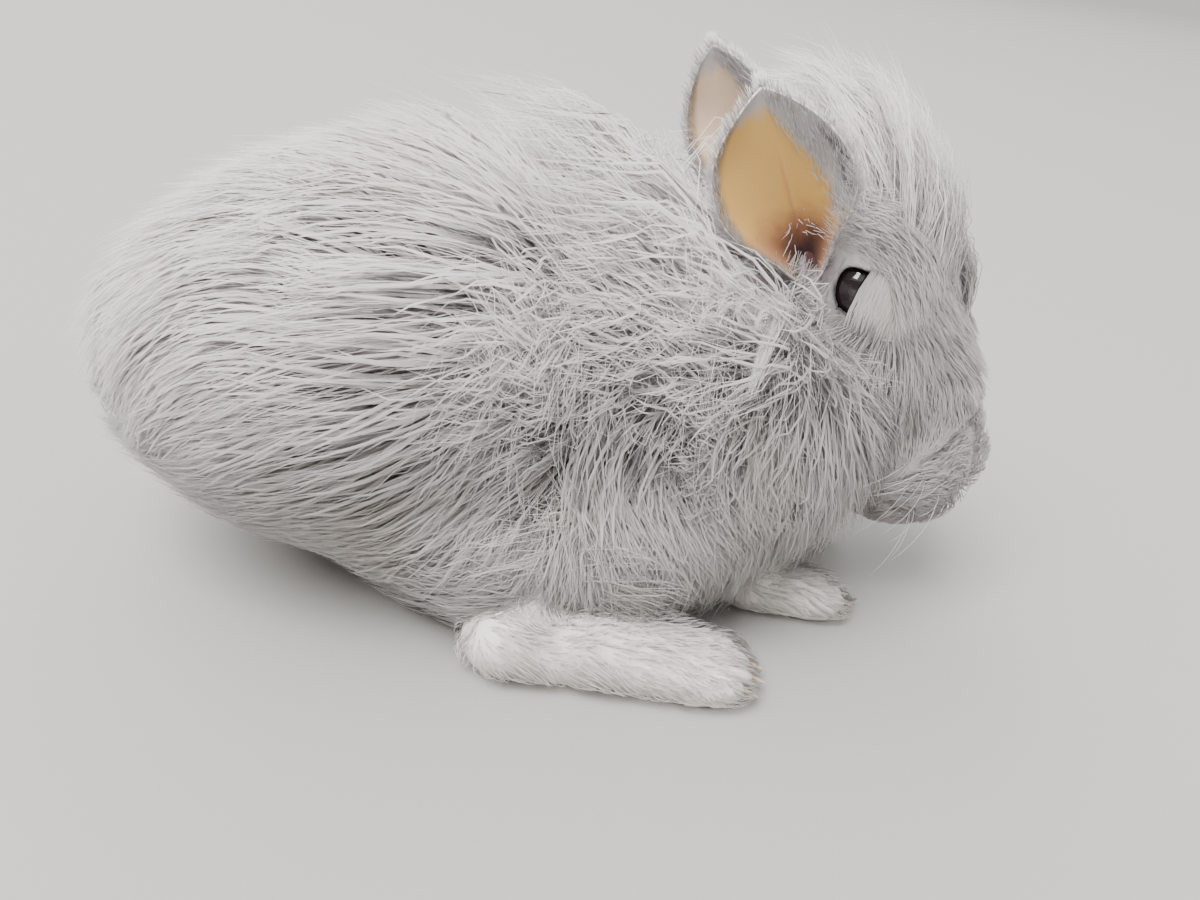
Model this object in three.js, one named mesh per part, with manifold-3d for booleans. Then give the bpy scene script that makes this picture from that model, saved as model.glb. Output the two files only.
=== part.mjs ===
// A young long-haired angora rabbit in a low crouch, life size, in millimetres.
// +X runs towards the nose, +Y towards the rabbit's left and +Z up. The soles and paws rest at z = 0.
// Trunk, neck, head and tail are modelled whole, as smooth unions of named masses that carry the locks
// of the coat, and are then parted along curved and flat walls a hair's breadth wide.
import * as THREE from "three";
import { mergeVertices } from "three/addons/utils/BufferGeometryUtils.js";
import Module from "manifold-3d";

const wasm = await Module();
wasm.setup();

const gap = 0.35; // clearance between neighbouring pieces
const lockRoom = 0.8; // a lock's corners are set out by this where it clears a neighbour
const lockSides = 3; // a ridge above and a flat underside
const lockRings = 3; // bends along a lock
const rootDepth = 0.28; // how far below the core a lock starts, as a share of the coat's depth
const climb = { lying: 1.6, mane: 4 }; // how fast a lock leaves its root, on the body and behind the ears
const maneStart = { x: [8, 26], z: [84, 104] }; // where the wool begins to stand up behind the ears
const starts = { flank: -2, shoulder: 21, ruff: 20, breast: 2 }; // how far ahead of the wall the coats meet
const coatFloor = 8; // height of the lowest tips above the floor
const lowestPoint = 2.5; // no part of the coat comes nearer to the floor

// A furred form has flesh masses, coat masses at the tips of its hair, and a centre that sees all of it.
// Each mass is an ellipsoid, given by its centre and its half sizes.
const trunk = {
  onFloor: true,
  centre: [-12, 0, 62],
  grid: [22, 14],
  softness: 5,
  coreShare: 0.48, // how far out towards the tips the solid underwool reaches
  flesh: [
    { at: [-26, 0, 61], size: [60, 38, 36] }, // loin and back
    { at: [-54, 22, 50], size: [36, 26, 35] }, // left haunch
    { at: [-54, -22, 50], size: [36, 26, 35] }, // right haunch
    { at: [2, 0, 42], size: [58, 36, 25] }, // belly
    { at: [30, 12, 56], size: [32, 24, 34] }, // left shoulder
    { at: [30, -12, 56], size: [32, 24, 34] }, // right shoulder
  ],
  coat: [
    { at: [-62, 0, 60], size: [55, 60, 46] }, // rump
    { at: [-26, 0, 68], size: [70, 68, 55] }, // back and flanks
    { at: [25, 0, 66], size: [58, 62, 56] }, // shoulders
    { at: [4, 0, 30], size: [70, 68, 40] }, // hem
  ],
  roots: { rings: 12, spacing: 30, stretch: 1.45 },
  rows: [
    { from: [-68, 58, 38], to: [34, 58, 38], count: 6 }, // the hem
    { from: [24, 54, 58], to: [16, 46, 92], count: 2 }, // behind the shoulder
    { from: [48, 50, 54], to: [38, 46, 92], count: 3 }, // on the shoulder
  ],
  lock: { length: 56, width: 37, thickness: 12 },
  clump: { length: 46, width: 40, thickness: 17 }, // crimped wool of the shoulders and flanks
};

const neck = {
  onFloor: true,
  centre: [60, 1, 66],
  grid: [18, 12],
  softness: 7,
  coreShare: 0.48,
  flesh: [
    { at: [50, 1, 80], size: [22, 22, 24] }, // nape
    { at: [60, 1, 56], size: [24, 24, 28] }, // throat
  ],
  coat: [
    { at: [42, 1, 82], size: [42, 54, 46] }, // ruff
    { at: [56, 1, 52], size: [42, 56, 46] }, // bib
  ],
  roots: { rings: 7, spacing: 31, stretch: 1 },
  rows: [{ from: [48, 40, 36], to: [78, 40, 36], count: 2 }], // the hem of the breast
  lock: { length: 46, width: 38, thickness: 14 },
  clump: { length: 42, width: 40, thickness: 17 },
};

const tail = {
  onFloor: true,
  centre: [-98, 0, 54],
  grid: [12, 8],
  softness: 4,
  coreShare: 0.3,
  flesh: [{ at: [-98, 0, 54], size: [13, 9, 13] }],
  coat: [{ at: [-104, 0, 56], size: [20, 19, 21] }],
  roots: { rings: 3, spacing: 32, stretch: 1 },
  rows: [],
  lock: { length: 24, width: 20, thickness: 10 },
  clump: { length: 24, width: 20, thickness: 10 },
};

// The head is built about the point midway between the eyes, with its x axis along the face.
const head = {
  origin: [74, 1.4, 94.7],
  yaw: -12, // degrees towards the rabbit's left
  pitch: 43, // degrees nose down
  centre: [16, 0, -10],
  grid: [24, 17],
  softness: 3,
  coreShare: 0,
  flesh: [
    { at: [-12, 0, 1], size: [27, 22, 22] }, // cranium
    { at: [3, 0, -19], size: [29, 21, 20] }, // cheeks and jaw
    { at: [6, 14, 5], size: [14, 8, 11] }, // left brow
    { at: [6, -14, 5], size: [14, 8, 11] }, // right brow
    { at: [24, 0, 0], size: [24, 15, 17] }, // root of the nose
    { at: [44, 0, -7], size: [22, 12.5, 13] }, // bridge of the nose
    { at: [57, 7, -18], size: [14, 10, 12] }, // left whisker pad
    { at: [57, -7, -18], size: [14, 10, 12] }, // right whisker pad
    { at: [67, 0, -9], size: [6, 5.5, 6] }, // nose
    { at: [56, 0, -30], size: [13, 9, 7.5] }, // chin
  ],
  coat: [
    { at: [-12, 0, 0], size: [38, 36, 34] }, // crown and cheeks
    { at: [10, 0, -18], size: [38, 36, 36] },
    { at: [48, 0, -14], size: [30, 19, 22] },
  ],
  roots: { rings: 8, spacing: 24, stretch: 1.3 },
  rows: [],
  lock: { length: 28, width: 24, thickness: 11 },
  clump: { length: 28, width: 24, thickness: 11 },
};

// The forelock stands on the crown in rows and fans out. Places are in the head's frame.
const forelock = {
  root: { at: [-14, -1, 12], spread: [17, 12, 0] },
  tips: { at: [-35, -2, 31], spread: [14, 20, 5] },
  facing: [40, 0, 20], // the flat faces look towards and away from this point
  rows: 3,
  columns: 4,
  width: 21,
  thickness: 9,
};

const eye = { at: [1, 15.6, 1.5], radius: 8.3, grid: [12, 8], lid: 1.6, opening: [7.2, 5.2], slant: 12 };

const nostril = { at: [71.5, 2.8, -8.5], size: [2.4, 0.9, 2.8], slant: 35 };
const cleft = { from: [75, -14], to: [74, -25], width: 0.9 }; // split of the upper lip, in x and z
const mouth = { corner: [46, 15, -24], front: [72, 0, -28], width: 1.2, depth: 3 };

const ear = {
  length: 50,
  halfWidth: 20, // measured along the curve of the cup
  thickness: 2.2,
  grid: [11, 8],
  wrap: { base: 2.3, tip: 0.75 }, // half angle that the cup closes through
  right: { base: [-13, -20, -4], tip: [-53, -32, 12], opening: [-0.35, -0.9, 0.2] },
  left: { base: [-20, 16, -2], tip: [-63, 14, 5], opening: [-0.85, -0.45, 0.2] },
};

// A foot lies along its own x axis from the heel, its sole flat on the floor.
// Its shank runs up into the trunk.
const hindLeg = {
  centre: [34, 0, 8],
  grid: [12, 8],
  softness: 1.6,
  flesh: [
    { at: [9, 0, 9], size: [9.5, 9, 10] }, // heel
    { at: [30, 0, 8], size: [27, 9.5, 10.5] }, // instep
    { at: [50, 0, 6], size: [18, 11, 8] }, // ball of the foot
  ],
  toes: { at: 63, length: 11, width: 3.4, height: 5.2, spread: 5.6, count: 4 },
  claw: { radius: 1.3, length: 7 },
  shank: { radius: 8.5, foot: [11, 0, 10], knee: [24, 16, 40] },
  right: { heel: [-20, -54], turn: -3 },
  left: { heel: [-34, 48], turn: 5 },
};

const foreLeg = {
  centre: [16, 0, 6],
  grid: [9, 6],
  softness: 1.2,
  flesh: [
    { at: [8, 0, 7], size: [8, 7, 7.5] }, // wrist
    { at: [18, 0, 5.5], size: [14, 7.5, 7] }, // palm
  ],
  toes: { at: 29, length: 8, width: 2.6, height: 4, spread: 4, count: 4 },
  claw: { radius: 1.1, length: 6 },
  shank: { radius: 7.5, foot: [8, 0, 8], knee: [0, 2, 46] },
  right: { heel: [52, -20], turn: -2 },
  left: { heel: [56, 20], turn: 3 },
};

// Walls along which the whole is parted.
const torsoWall = { low: [54, 0], high: [12, 120] }; // x and z at the breast and above the withers
const headRoom = { at: [20, 0, -5], size: [68, 42, 42] }; // in the head's frame
const forelockRoom = { at: [2, 0, -5], size: [66, 46, 70] };
const tailRoom = { at: [-108, 0, 56], size: [21, 18, 22] };

// Dilute lilac wool, pale feet, bare tan ear cups and near-black eyes.
const finish = {
  wool: { color: 0xcdc8c6, roughness: 0.95, metalness: 0 },
  face: { color: 0xc4bebd, roughness: 0.9, metalness: 0 },
  foot: { color: 0xe6dfdb, roughness: 0.9, metalness: 0 },
  ear: { color: 0xd6b98c, roughness: 0.7, metalness: 0 },
  eye: { color: 0x1d171b, roughness: 0.08, metalness: 0 },
};

const vec = (a) => new THREE.Vector3(...a);
const radians = THREE.MathUtils.degToRad;
const smooth = THREE.MathUtils.smoothstep;

const headPose = new THREE.Matrix4()
  .makeTranslation(...head.origin)
  .multiply(new THREE.Matrix4().makeRotationZ(radians(head.yaw)))
  .multiply(new THREE.Matrix4().makeRotationY(radians(head.pitch)));

// Distance from a point to an ellipsoid, good enough near its surface.
function massDistance(p, mass) {
  const size = vec(mass.size);
  const q = p.clone().sub(vec(mass.at)).divide(size);
  const reach = q.length();
  const steep = q.divide(size).length();
  return steep < 1e-9 ? -Math.min(...mass.size) : (reach * (reach - 1)) / steep;
}

// Distance to masses run softly together.
function distance(p, masses, softness) {
  let sum = 0;
  for (const mass of masses) sum += Math.exp(-massDistance(p, mass) / softness);
  return -softness * Math.log(sum);
}

// How far a ray from the form's centre runs before it leaves the masses.
function reachOf(form, masses, direction, grow) {
  const centre = vec(form.centre);
  let inside = 0;
  let outside = 170;
  for (let i = 0; i < 26; i++) {
    const middle = (inside + outside) / 2;
    const p = centre.clone().addScaledVector(direction, middle);
    if (distance(p, masses, form.softness) < grow) inside = middle;
    else outside = middle;
  }
  return inside;
}

// A point of the form at a share of the way from its skin, 0, to the tips of its coat, 1.
function coatPoint(form, direction, share, grow = 0) {
  const skin = reachOf(form, form.flesh, direction, grow);
  if (!form.coat) return vec(form.centre).addScaledVector(direction, skin);
  let tips = Math.max(skin, reachOf(form, form.coat, direction, grow));
  if (direction.z < -1e-6 && form.onFloor) tips = Math.min(tips, (coatFloor - form.centre[2]) / direction.z);
  return vec(form.centre).addScaledVector(direction, THREE.MathUtils.lerp(skin, Math.max(tips, skin), share));
}

function reshape(geometry, move) {
  const place = geometry.getAttribute("position");
  for (let i = 0; i < place.count; i++) {
    const p = move(new THREE.Vector3().fromBufferAttribute(place, i));
    place.setXYZ(i, p.x, p.y, p.z);
  }
  return geometry;
}

// A closed geometry as a solid, carried into place by a matrix.
function solidOf(geometry, matrix) {
  const bare = new THREE.BufferGeometry();
  bare.setAttribute("position", geometry.getAttribute("position").clone());
  bare.setIndex(geometry.index);
  if (matrix) bare.applyMatrix4(matrix);
  const merged = mergeVertices(bare, 1e-3);
  const corners = merged.index ? Array.from(merged.index.array) : [];
  const kept = [];
  for (let i = 0; i < corners.length; i += 3) {
    const [a, b, c] = corners.slice(i, i + 3);
    if (a !== b && b !== c && c !== a) kept.push(a, b, c);
  }
  return new wasm.Manifold(
    new wasm.Mesh({
      numProp: 3,
      vertProperties: new Float32Array(merged.getAttribute("position").array),
      triVerts: new Uint32Array(kept),
    }),
  );
}

const union = (solids) => wasm.Manifold.union(solids);

// The outer surface of the biggest piece, without sealed hollows or loose scraps.
function largest(solid) {
  return solid.decompose().reduce((a, b) => (a.volume() > b.volume() ? a : b));
}

// An ellipsoid, for masses, walls and small cuts.
function ellipsoid(mass, grow = 0, matrix = null, grid = [32, 20]) {
  const ball = new THREE.SphereGeometry(1, ...grid);
  ball.rotateZ(Math.PI / 2);
  const size = mass.size.map((half) => half + grow);
  return solidOf(reshape(ball, (p) => p.multiply(vec(size)).add(vec(mass.at))), matrix);
}

function formSolid(form, share, grow = 0, matrix = null) {
  const ball = new THREE.SphereGeometry(1, ...form.grid);
  ball.rotateZ(Math.PI / 2); // its poles lie along the body
  return solidOf(
    reshape(ball, (p) => coatPoint(form, p.normalize(), share, grow)),
    matrix,
  );
}

// A small seeded generator, so that each build draws the same coat.
function seeded(seed) {
  let state = seed;
  return () => {
    state = (Math.imul(state, 1664525) + 1013904223) >>> 0;
    return state / 4294967296;
  };
}

// Roots in staggered rings round a form's long axis, evenly spread over the parts where its coat is long,
// and in rows that are the same on both flanks.
function rootsOn({ form, isLong }) {
  const found = [];
  const { rings, spacing, stretch } = form.roots;
  for (let ring = 0; ring < rings; ring++) {
    const from = (Math.PI * (ring + 0.5)) / rings;
    const [ahead, aside] = [stretch * Math.cos(from), Math.sin(from)];
    const side = coatPoint(form, new THREE.Vector3(ahead, aside, 0).normalize(), 1).y - form.centre[1];
    const count = Math.max(3, Math.round((2 * Math.PI * side) / spacing));
    for (let i = 0; i < count; i++) {
      const turn = (2 * Math.PI * (i + 0.5 * (ring % 2) + 0.4 * (draw() - 0.5))) / count;
      const direction = new THREE.Vector3(ahead, aside * Math.cos(turn), aside * Math.sin(turn)).normalize();
      const at = coatPoint(form, direction, 0.7);
      if (isLong(at)) found.push({ direction, at });
    }
  }
  for (const { from, to, count } of form.rows) {
    for (let i = 0; i < 2 * count; i++) {
      const place = vec(from).lerp(vec(to), (i % count) / (count - 1));
      if (i >= count) place.y *= -1;
      const direction = place.addScaledVector(vec(form.centre), -1).normalize();
      found.push({ direction, at: coatPoint(form, direction, 0.7) });
    }
  }
  return found;
}

// A flat, tapered lock along a path, widest beyond its root. Its faces look away from the centre.
function lockShape({ path, centre, width, thickness, lowest }, grow) {
  const blade = new THREE.ConeGeometry(1, 1, lockSides, lockRings);
  const bend = 1 / lockRings;
  return reshape(blade, (p) => {
    const t = p.y + 0.5;
    const middle = path(t);
    const fullness = (0.7 + 0.7 * t) * (1 - t) ** 0.6;
    const out = middle.clone().sub(centre).normalize();
    const along = path(Math.min(t + bend, 1)).sub(path(Math.max(t - bend, 0))).normalize();
    const side = new THREE.Vector3().crossVectors(along, out).normalize();
    const up = new THREE.Vector3().crossVectors(side, along);
    const angle = Math.atan2(p.z, p.x);
    const onAxis = p.x * p.x + p.z * p.z < 1e-8;
    if (t < 0.01 || t > 0.99) middle.addScaledVector(along, grow * (2 * t - 1));
    if (!onAxis) {
      middle.addScaledVector(side, Math.cos(angle) * (0.5 * width * fullness + grow));
      middle.addScaledVector(up, Math.sin(angle) * (0.5 * thickness * fullness + grow));
    }
    return middle.setZ(Math.max(middle.z, lowest - grow));
  });
}

// A lock of the lying coat. It leaves its root steeply, bends over along the lie and ends at the tips.
function lyingPath(form, lock) {
  const centre = vec(form.centre);
  return (t) => {
    const toward = lock.at.clone().addScaledVector(lock.lie, lock.length * t ** 1.4).sub(centre).normalize();
    const rise = 1 - (1 - t) ** lock.climb;
    return coatPoint(form, toward, THREE.MathUtils.lerp(lock.rootShare, lock.tipShare, rise));
  };
}

// The locks of a form. Each is drawn between a long silky one and a short crimped clump.
function locksOf(coat) {
  const { form, lieAt, crimpAt } = coat;
  return rootsOn(coat).map(({ direction, at }) => {
    const crimp = crimpAt(at);
    const usual = (key) => THREE.MathUtils.lerp(form.lock[key], form.clump[key], crimp);
    const size = (key) => usual(key) * (0.86 + 0.28 * draw());
    const astray = new THREE.Vector3(draw() - 0.5, draw() - 0.5, draw() - 0.5);
    const lie = lieAt(at).addScaledVector(astray, 0.4 + 0.5 * crimp);
    lie.addScaledVector(direction, -lie.dot(direction)).normalize();
    const mane = form.onFloor ? smooth(at.x, ...maneStart.x) * smooth(at.z, ...maneStart.z) : 0;
    const lock = {
      at,
      lie,
      length: size("length") * (1 - 0.25 * mane),
      climb: THREE.MathUtils.lerp(climb.lying, climb.mane, mane),
      rootShare: form.coreShare - rootDepth,
      tipShare: 0.94 + 0.12 * draw(),
    };
    const lowest = form.onFloor ? lowestPoint : -Infinity;
    const section = { width: size("width"), thickness: size("thickness") };
    return { root: at, path: lyingPath(form, lock), centre: vec(form.centre), ...section, lowest };
  });
}

function forelockLocks() {
  const { root, tips, rows, columns } = forelock;
  const locks = [];
  for (let i = 0; i < rows * columns; i++) {
    const column = Math.floor(i / rows);
    const u = (2 * (i % rows) + (column % 2)) / rows - 0.8;
    const v = (2 * column) / (columns - 1) - 1;
    const place = ({ at, spread }, loose) => {
      const [x, y, z] = spread;
      const astray = () => loose * (draw() - 0.5);
      return vec(at).add(vec([x * (u + astray()), y * (v + astray()), z * (draw() - 0.5)]));
    };
    const from = place(root, 0.2);
    const to = place(tips, 0.5);
    const lift = new THREE.Vector3(4, 0, 8);
    const path = (t) => from.clone().lerp(to, t).addScaledVector(lift, Math.sin(Math.PI * t));
    const size = 0.86 + 0.28 * draw();
    const section = { width: forelock.width * size, thickness: forelock.thickness * size };
    locks.push({ path, centre: vec(forelock.facing), ...section, lowest: -Infinity });
  }
  return locks;
}

// The cup of an ear: a leaf-shaped sheet, rolled towards its opening and tightest at the base.
function earSolid(side, grow) {
  const spec = ear[side];
  const base = vec(spec.base).applyMatrix4(headPose);
  const tip = vec(spec.tip).applyMatrix4(headPose);
  const up = tip.clone().sub(base).normalize();
  const opening = vec(spec.opening).addScaledVector(up, -vec(spec.opening).dot(up)).normalize();
  const across = new THREE.Vector3().crossVectors(up, opening);
  const sheet = new THREE.BoxGeometry(1, 1, 1, ear.grid[1], ear.grid[0], 1);
  return solidOf(
    reshape(sheet, (p) => {
      const t = p.y + 0.5;
      const leaf = Math.pow(Math.sin(Math.PI * Math.pow(0.1 + 0.9 * t, 1.15)), 0.75);
      const half = t > 0.999 ? 1.2 : Math.max(ear.halfWidth * leaf, 1.2);
      const wrap = THREE.MathUtils.lerp(ear.wrap.base, ear.wrap.tip, smooth(t, 0, 0.75));
      const radius = half / wrap;
      const angle = 2 * p.x * (wrap + grow / radius);
      const thin = 1 - 0.45 * Math.abs(2 * p.x) ** 3;
      const out = p.z * (ear.thickness * thin + 2 * grow);
      const along = t * ear.length + (t - 0.5) * 2 * grow;
      const from = base.clone().addScaledVector(up, along - 3);
      from.addScaledVector(across, Math.sin(angle) * (radius - out));
      return from.addScaledVector(opening, radius - Math.cos(angle) * (radius - out));
    }),
  );
}

// A foot with a flat sole, its toes and claws, and the shank that runs up into the trunk.
function legSolid(leg, side, grow) {
  const { toes, claw, shank } = leg;
  const inward = leg[side].heel[1] > 0 ? -1 : 1;
  const onFloor = (p) => p.setZ(Math.max(p.z, -grow));
  const paw = new THREE.SphereGeometry(1, ...leg.grid);
  paw.rotateZ(Math.PI / 2);
  const shapes = [reshape(paw, (p) => onFloor(coatPoint(leg, p.normalize(), 0, grow)))];
  for (let i = 0; i < toes.count; i++) {
    const offset = i - (toes.count - 1) / 2;
    const front = toes.at - 1.4 * offset ** 2; // the outer toes are shorter
    const y = toes.spread * offset;
    const ball = new THREE.SphereGeometry(1, 5, 4);
    ball.rotateY(Math.PI);
    const half = [toes.length + grow, toes.width + grow, toes.height + grow];
    shapes.push(reshape(ball, (p) => onFloor(p.multiply(vec(half)).add(vec([front, y, toes.height * 0.9])))));
    const nail = new THREE.ConeGeometry(claw.radius + grow, claw.length + 2 * grow, 4, 1);
    nail.rotateZ(-Math.PI / 2);
    nail.translate(front + toes.length + claw.length * 0.2, y, toes.height * 0.75);
    shapes.push(nail);
  }
  const from = vec(shank.foot);
  const to = vec([shank.knee[0], shank.knee[1] * inward, shank.knee[2]]);
  const bone = new THREE.CapsuleGeometry(shank.radius + grow, from.distanceTo(to), 2, 7);
  const lean = to.clone().sub(from).normalize();
  bone.applyQuaternion(new THREE.Quaternion().setFromUnitVectors(new THREE.Vector3(0, 1, 0), lean));
  bone.translate(...from.add(to).multiplyScalar(0.5));
  shapes.push(reshape(bone, onFloor));
  const place = new THREE.Matrix4()
    .makeTranslation(leg[side].heel[0], leg[side].heel[1], 0)
    .multiply(new THREE.Matrix4().makeRotationZ(radians(leg[side].turn)));
  return union(shapes.map((shape) => solidOf(shape, place)));
}

const [lowX, lowZ] = torsoWall.low;
const [highX, highZ] = torsoWall.high;
const forward = new THREE.Vector3(highZ - lowZ, 0, lowX - highX).normalize();
const aheadOfWall = (p) => p.clone().sub(new THREE.Vector3(lowX, 0, lowZ)).dot(forward);

// Everything behind the wall between trunk and neck, moved back by a distance.
function behindWall(back) {
  const size = 400;
  const block = new THREE.BoxGeometry(size, size, size);
  const left = new THREE.Vector3(0, 1, 0);
  const frame = new THREE.Matrix4().makeBasis(forward, left, forward.clone().cross(left));
  block.translate(-size / 2, 0, 0);
  const place = new THREE.Matrix4().makeTranslation(lowX, 0, lowZ).multiply(frame);
  return solidOf(block, place.multiply(new THREE.Matrix4().makeTranslation(-back, 0, 0)));
}

function tailSpace(grow) {
  return ellipsoid(tailRoom, grow, null, [16, 10]);
}

// The room kept for the head: a ball round it, and a column for the forelock.
function headSpace(grow) {
  const [x, y, z] = forelockRoom.at;
  const [long, wide, high] = forelockRoom.size;
  const column = new THREE.CylinderGeometry(1, 1, high, 24, 1);
  column.rotateX(Math.PI / 2);
  column.scale(long + grow, wide + grow, 1);
  column.translate(x, y, z + high / 2);
  return ellipsoid(headRoom, grow, headPose, [24, 16]).add(solidOf(column, headPose));
}

function eyeMass(side, grow) {
  const at = [eye.at[0], eye.at[1] * side, eye.at[2]];
  return { at, size: [eye.radius + grow, eye.radius + grow, eye.radius + grow] };
}

// The almond opening between the lids, cut outwards through the lid's shell.
function lidOpening(side) {
  const [long, high] = eye.opening;
  const almond = new THREE.SphereGeometry(1, 12, 6);
  const place = headPose
    .clone()
    .multiply(new THREE.Matrix4().makeTranslation(eye.at[0], (eye.at[1] + eye.radius) * side, eye.at[2]))
    .multiply(new THREE.Matrix4().makeRotationY(radians(eye.slant)));
  reshape(almond, (p) => new THREE.Vector3(p.x * long, p.y * 6, p.z * high * (1 - 0.35 * p.x * p.x)));
  return solidOf(almond, place);
}

function headSolid() {
  const solids = [formSolid(head, 0, 0, headPose)];
  for (const side of [1, -1]) solids.push(ellipsoid(eyeMass(side, gap + eye.lid), 0, headPose, eye.grid));
  let skull = union(solids);
  for (const side of [1, -1]) {
    const sunk = new THREE.Matrix4().makeRotationZ(radians(nostril.slant * side));
    const hole = { at: [0, 0, 0], size: nostril.size };
    const place = headPose.clone().multiply(
      new THREE.Matrix4().makeTranslation(nostril.at[0], nostril.at[1] * side, nostril.at[2]),
    );
    skull = skull.subtract(ellipsoid(hole, 0, place.multiply(sunk), [12, 8]));
    skull = skull.subtract(ellipsoid(eyeMass(side, gap), 0, headPose, eye.grid));
    skull = skull.subtract(lidOpening(side));
  }
  return skull.subtract(mouthCut());
}

// The mouth line, a shallow groove from corner to corner below the whisker pads, and the cleft of the lip.
function mouthCut() {
  const [cornerX, cornerY, cornerZ] = mouth.corner;
  const [frontX, , frontZ] = mouth.front;
  const onFace = (u) => {
    const back = Math.abs(u) ** 1.6;
    const x = THREE.MathUtils.lerp(frontX, cornerX, back);
    const z = THREE.MathUtils.lerp(frontZ, cornerZ, back);
    return new THREE.Vector3(x, cornerY * Math.sin((u * Math.PI) / 2), z);
  };
  const groove = new THREE.BoxGeometry(2, mouth.width, 1, 12, 1, 1);
  reshape(groove, (p) => {
    const out = onFace(p.x).sub(vec(head.centre)).normalize();
    const ahead = onFace(p.x + 0.02).sub(onFace(p.x - 0.02)).normalize();
    const across = new THREE.Vector3().crossVectors(out, ahead).normalize();
    const lip = coatPoint(head, out, 0);
    const shallow = mouth.depth * (1 - 0.6 * Math.abs(p.x));
    return lip.addScaledVector(out, p.z < 0 ? -shallow : 3).addScaledVector(across, p.y);
  });
  const [[topX, topZ], [lowX, lowZ]] = [cleft.from, cleft.to];
  const split = new THREE.BoxGeometry(8, cleft.width, topZ - lowZ);
  reshape(split, (p) => p.add(vec([p.z > 0 ? topX : lowX, 0, (topZ + lowZ) / 2])));
  return solidOf(groove, headPose).add(solidOf(split, headPose));
}

const model = new THREE.Group();

function add(name, solid, look) {
  const mesh = solid.getMesh();
  const geometry = new THREE.BufferGeometry();
  geometry.setAttribute("position", new THREE.BufferAttribute(mesh.vertProperties, 3));
  geometry.setIndex(new THREE.BufferAttribute(mesh.triVerts, 1));
  const piece = new THREE.Mesh(geometry, new THREE.MeshStandardMaterial(look));
  piece.name = name;
  model.add(piece);
}

const draw = seeded(11);

// On the back the coat streams towards the rump.
// It hangs more and more steeply down the flanks and the breast.
const trunkLie = (p) => {
  const low = smooth(84 - p.z, 0, 50);
  const front = smooth(p.x, -60, 20);
  const down = low * (0.5 + 1.3 * front);
  return new THREE.Vector3(-1 + 0.75 * front * low, 0.35 * Math.sign(p.y) * low, 0.1 - down);
};
const trunkCrimp = (p) => smooth(p.x, -35, 35) * smooth(118 - p.z, 0, 40);
const isHigh = (p) => p.z > 50;
const trunkIsLong = (p) => {
  const offWall = aheadOfWall(p) < (isHigh(p) ? starts.shoulder : starts.flank);
  return offWall && p.x > -112 && p.z > 42;
};
const neckLie = (p) => {
  const low = smooth(100 - p.z, 0, 45);
  return new THREE.Vector3(-1 + 0.8 * low, 0.3 * Math.sign(p.y) * low, 0.15 - 1.1 * low);
};
const neckIsLong = (p) => {
  const offWall = aheadOfWall(p) > (isHigh(p) ? starts.ruff : starts.breast);
  return offWall && p.z > 42 && (p.x < 62 || p.z < 60);
};
const tailLie = () => new THREE.Vector3(-0.2, 0, 1);

// The cheeks hang down and back, clear of the eye and the ears.
const cheekLie = (p) => new THREE.Vector3(-0.5, 0.1 * Math.sign(p.y), -0.8);
const cheekIsLong = (p) => {
  const side = Math.sign(p.y);
  const eyeAt = vec([eye.at[0], eye.at[1] * side, eye.at[2]]);
  const { base, tip } = side > 0 ? ear.left : ear.right;
  const earLine = new THREE.Line3(vec(base), vec(tip));
  const offEar = earLine.closestPointToPoint(p, true, new THREE.Vector3()).distanceTo(p) > 15;
  return p.x < 16 && p.z < 6 && p.distanceTo(eyeAt) > 21 && offEar;
};

const trunkLocks = locksOf({ form: trunk, isLong: trunkIsLong, lieAt: trunkLie, crimpAt: trunkCrimp });
const ruffLocks = locksOf({ form: neck, isLong: neckIsLong, lieAt: neckLie, crimpAt: () => 0.7 });
const isAhead = ({ root }) => aheadOfWall(root) > starts.flank;
const torsoLocks = trunkLocks.filter((lock) => !isAhead(lock));
const neckLocks = [...ruffLocks, ...trunkLocks.filter(isAhead)]; // the last stream back over the torso
const tailLocks = locksOf({ form: tail, isLong: (p) => p.x < -100, lieAt: tailLie, crimpAt: () => 0 });
const cheekLocks = locksOf({ form: head, isLong: cheekIsLong, lieAt: cheekLie, crimpAt: () => 0 });
const headLocks = [...cheekLocks, ...forelockLocks()];
const lockSolids = (locks, grow, matrix = null) =>
  union(locks.map((lock) => solidOf(lockShape(lock, grow), matrix)));

const sides = { left: 1, right: -1 };
const legs = { hindleg: hindLeg, foreleg: foreLeg };
const trunkCore = formSolid(trunk, trunk.coreShare);
const neckCore = formSolid(neck, neck.coreShare);
const tailCore = formSolid(tail, tail.coreShare);
const body = union([trunkCore, neckCore, tailCore]);
const sideNames = Object.keys(sides);
const earRoom = union(sideNames.map((side) => earSolid(side, gap)));
const legsOf = (side, grow) => Object.values(legs).map((leg) => legSolid(leg, side, grow));
const legRoom = union(sideNames.flatMap((side) => legsOf(side, gap)));
const eyeSpace = (side) => lidOpening(side).add(ellipsoid(eyeMass(side, gap), 0, headPose, eye.grid));
const eyeRoom = eyeSpace(1).add(eyeSpace(-1));

const skull = headSolid().add(lockSolids(headLocks, 0, headPose)).subtract(earRoom).subtract(eyeRoom);
add("head", largest(skull.intersect(headSpace(-gap / 2))), finish.face);

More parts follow.
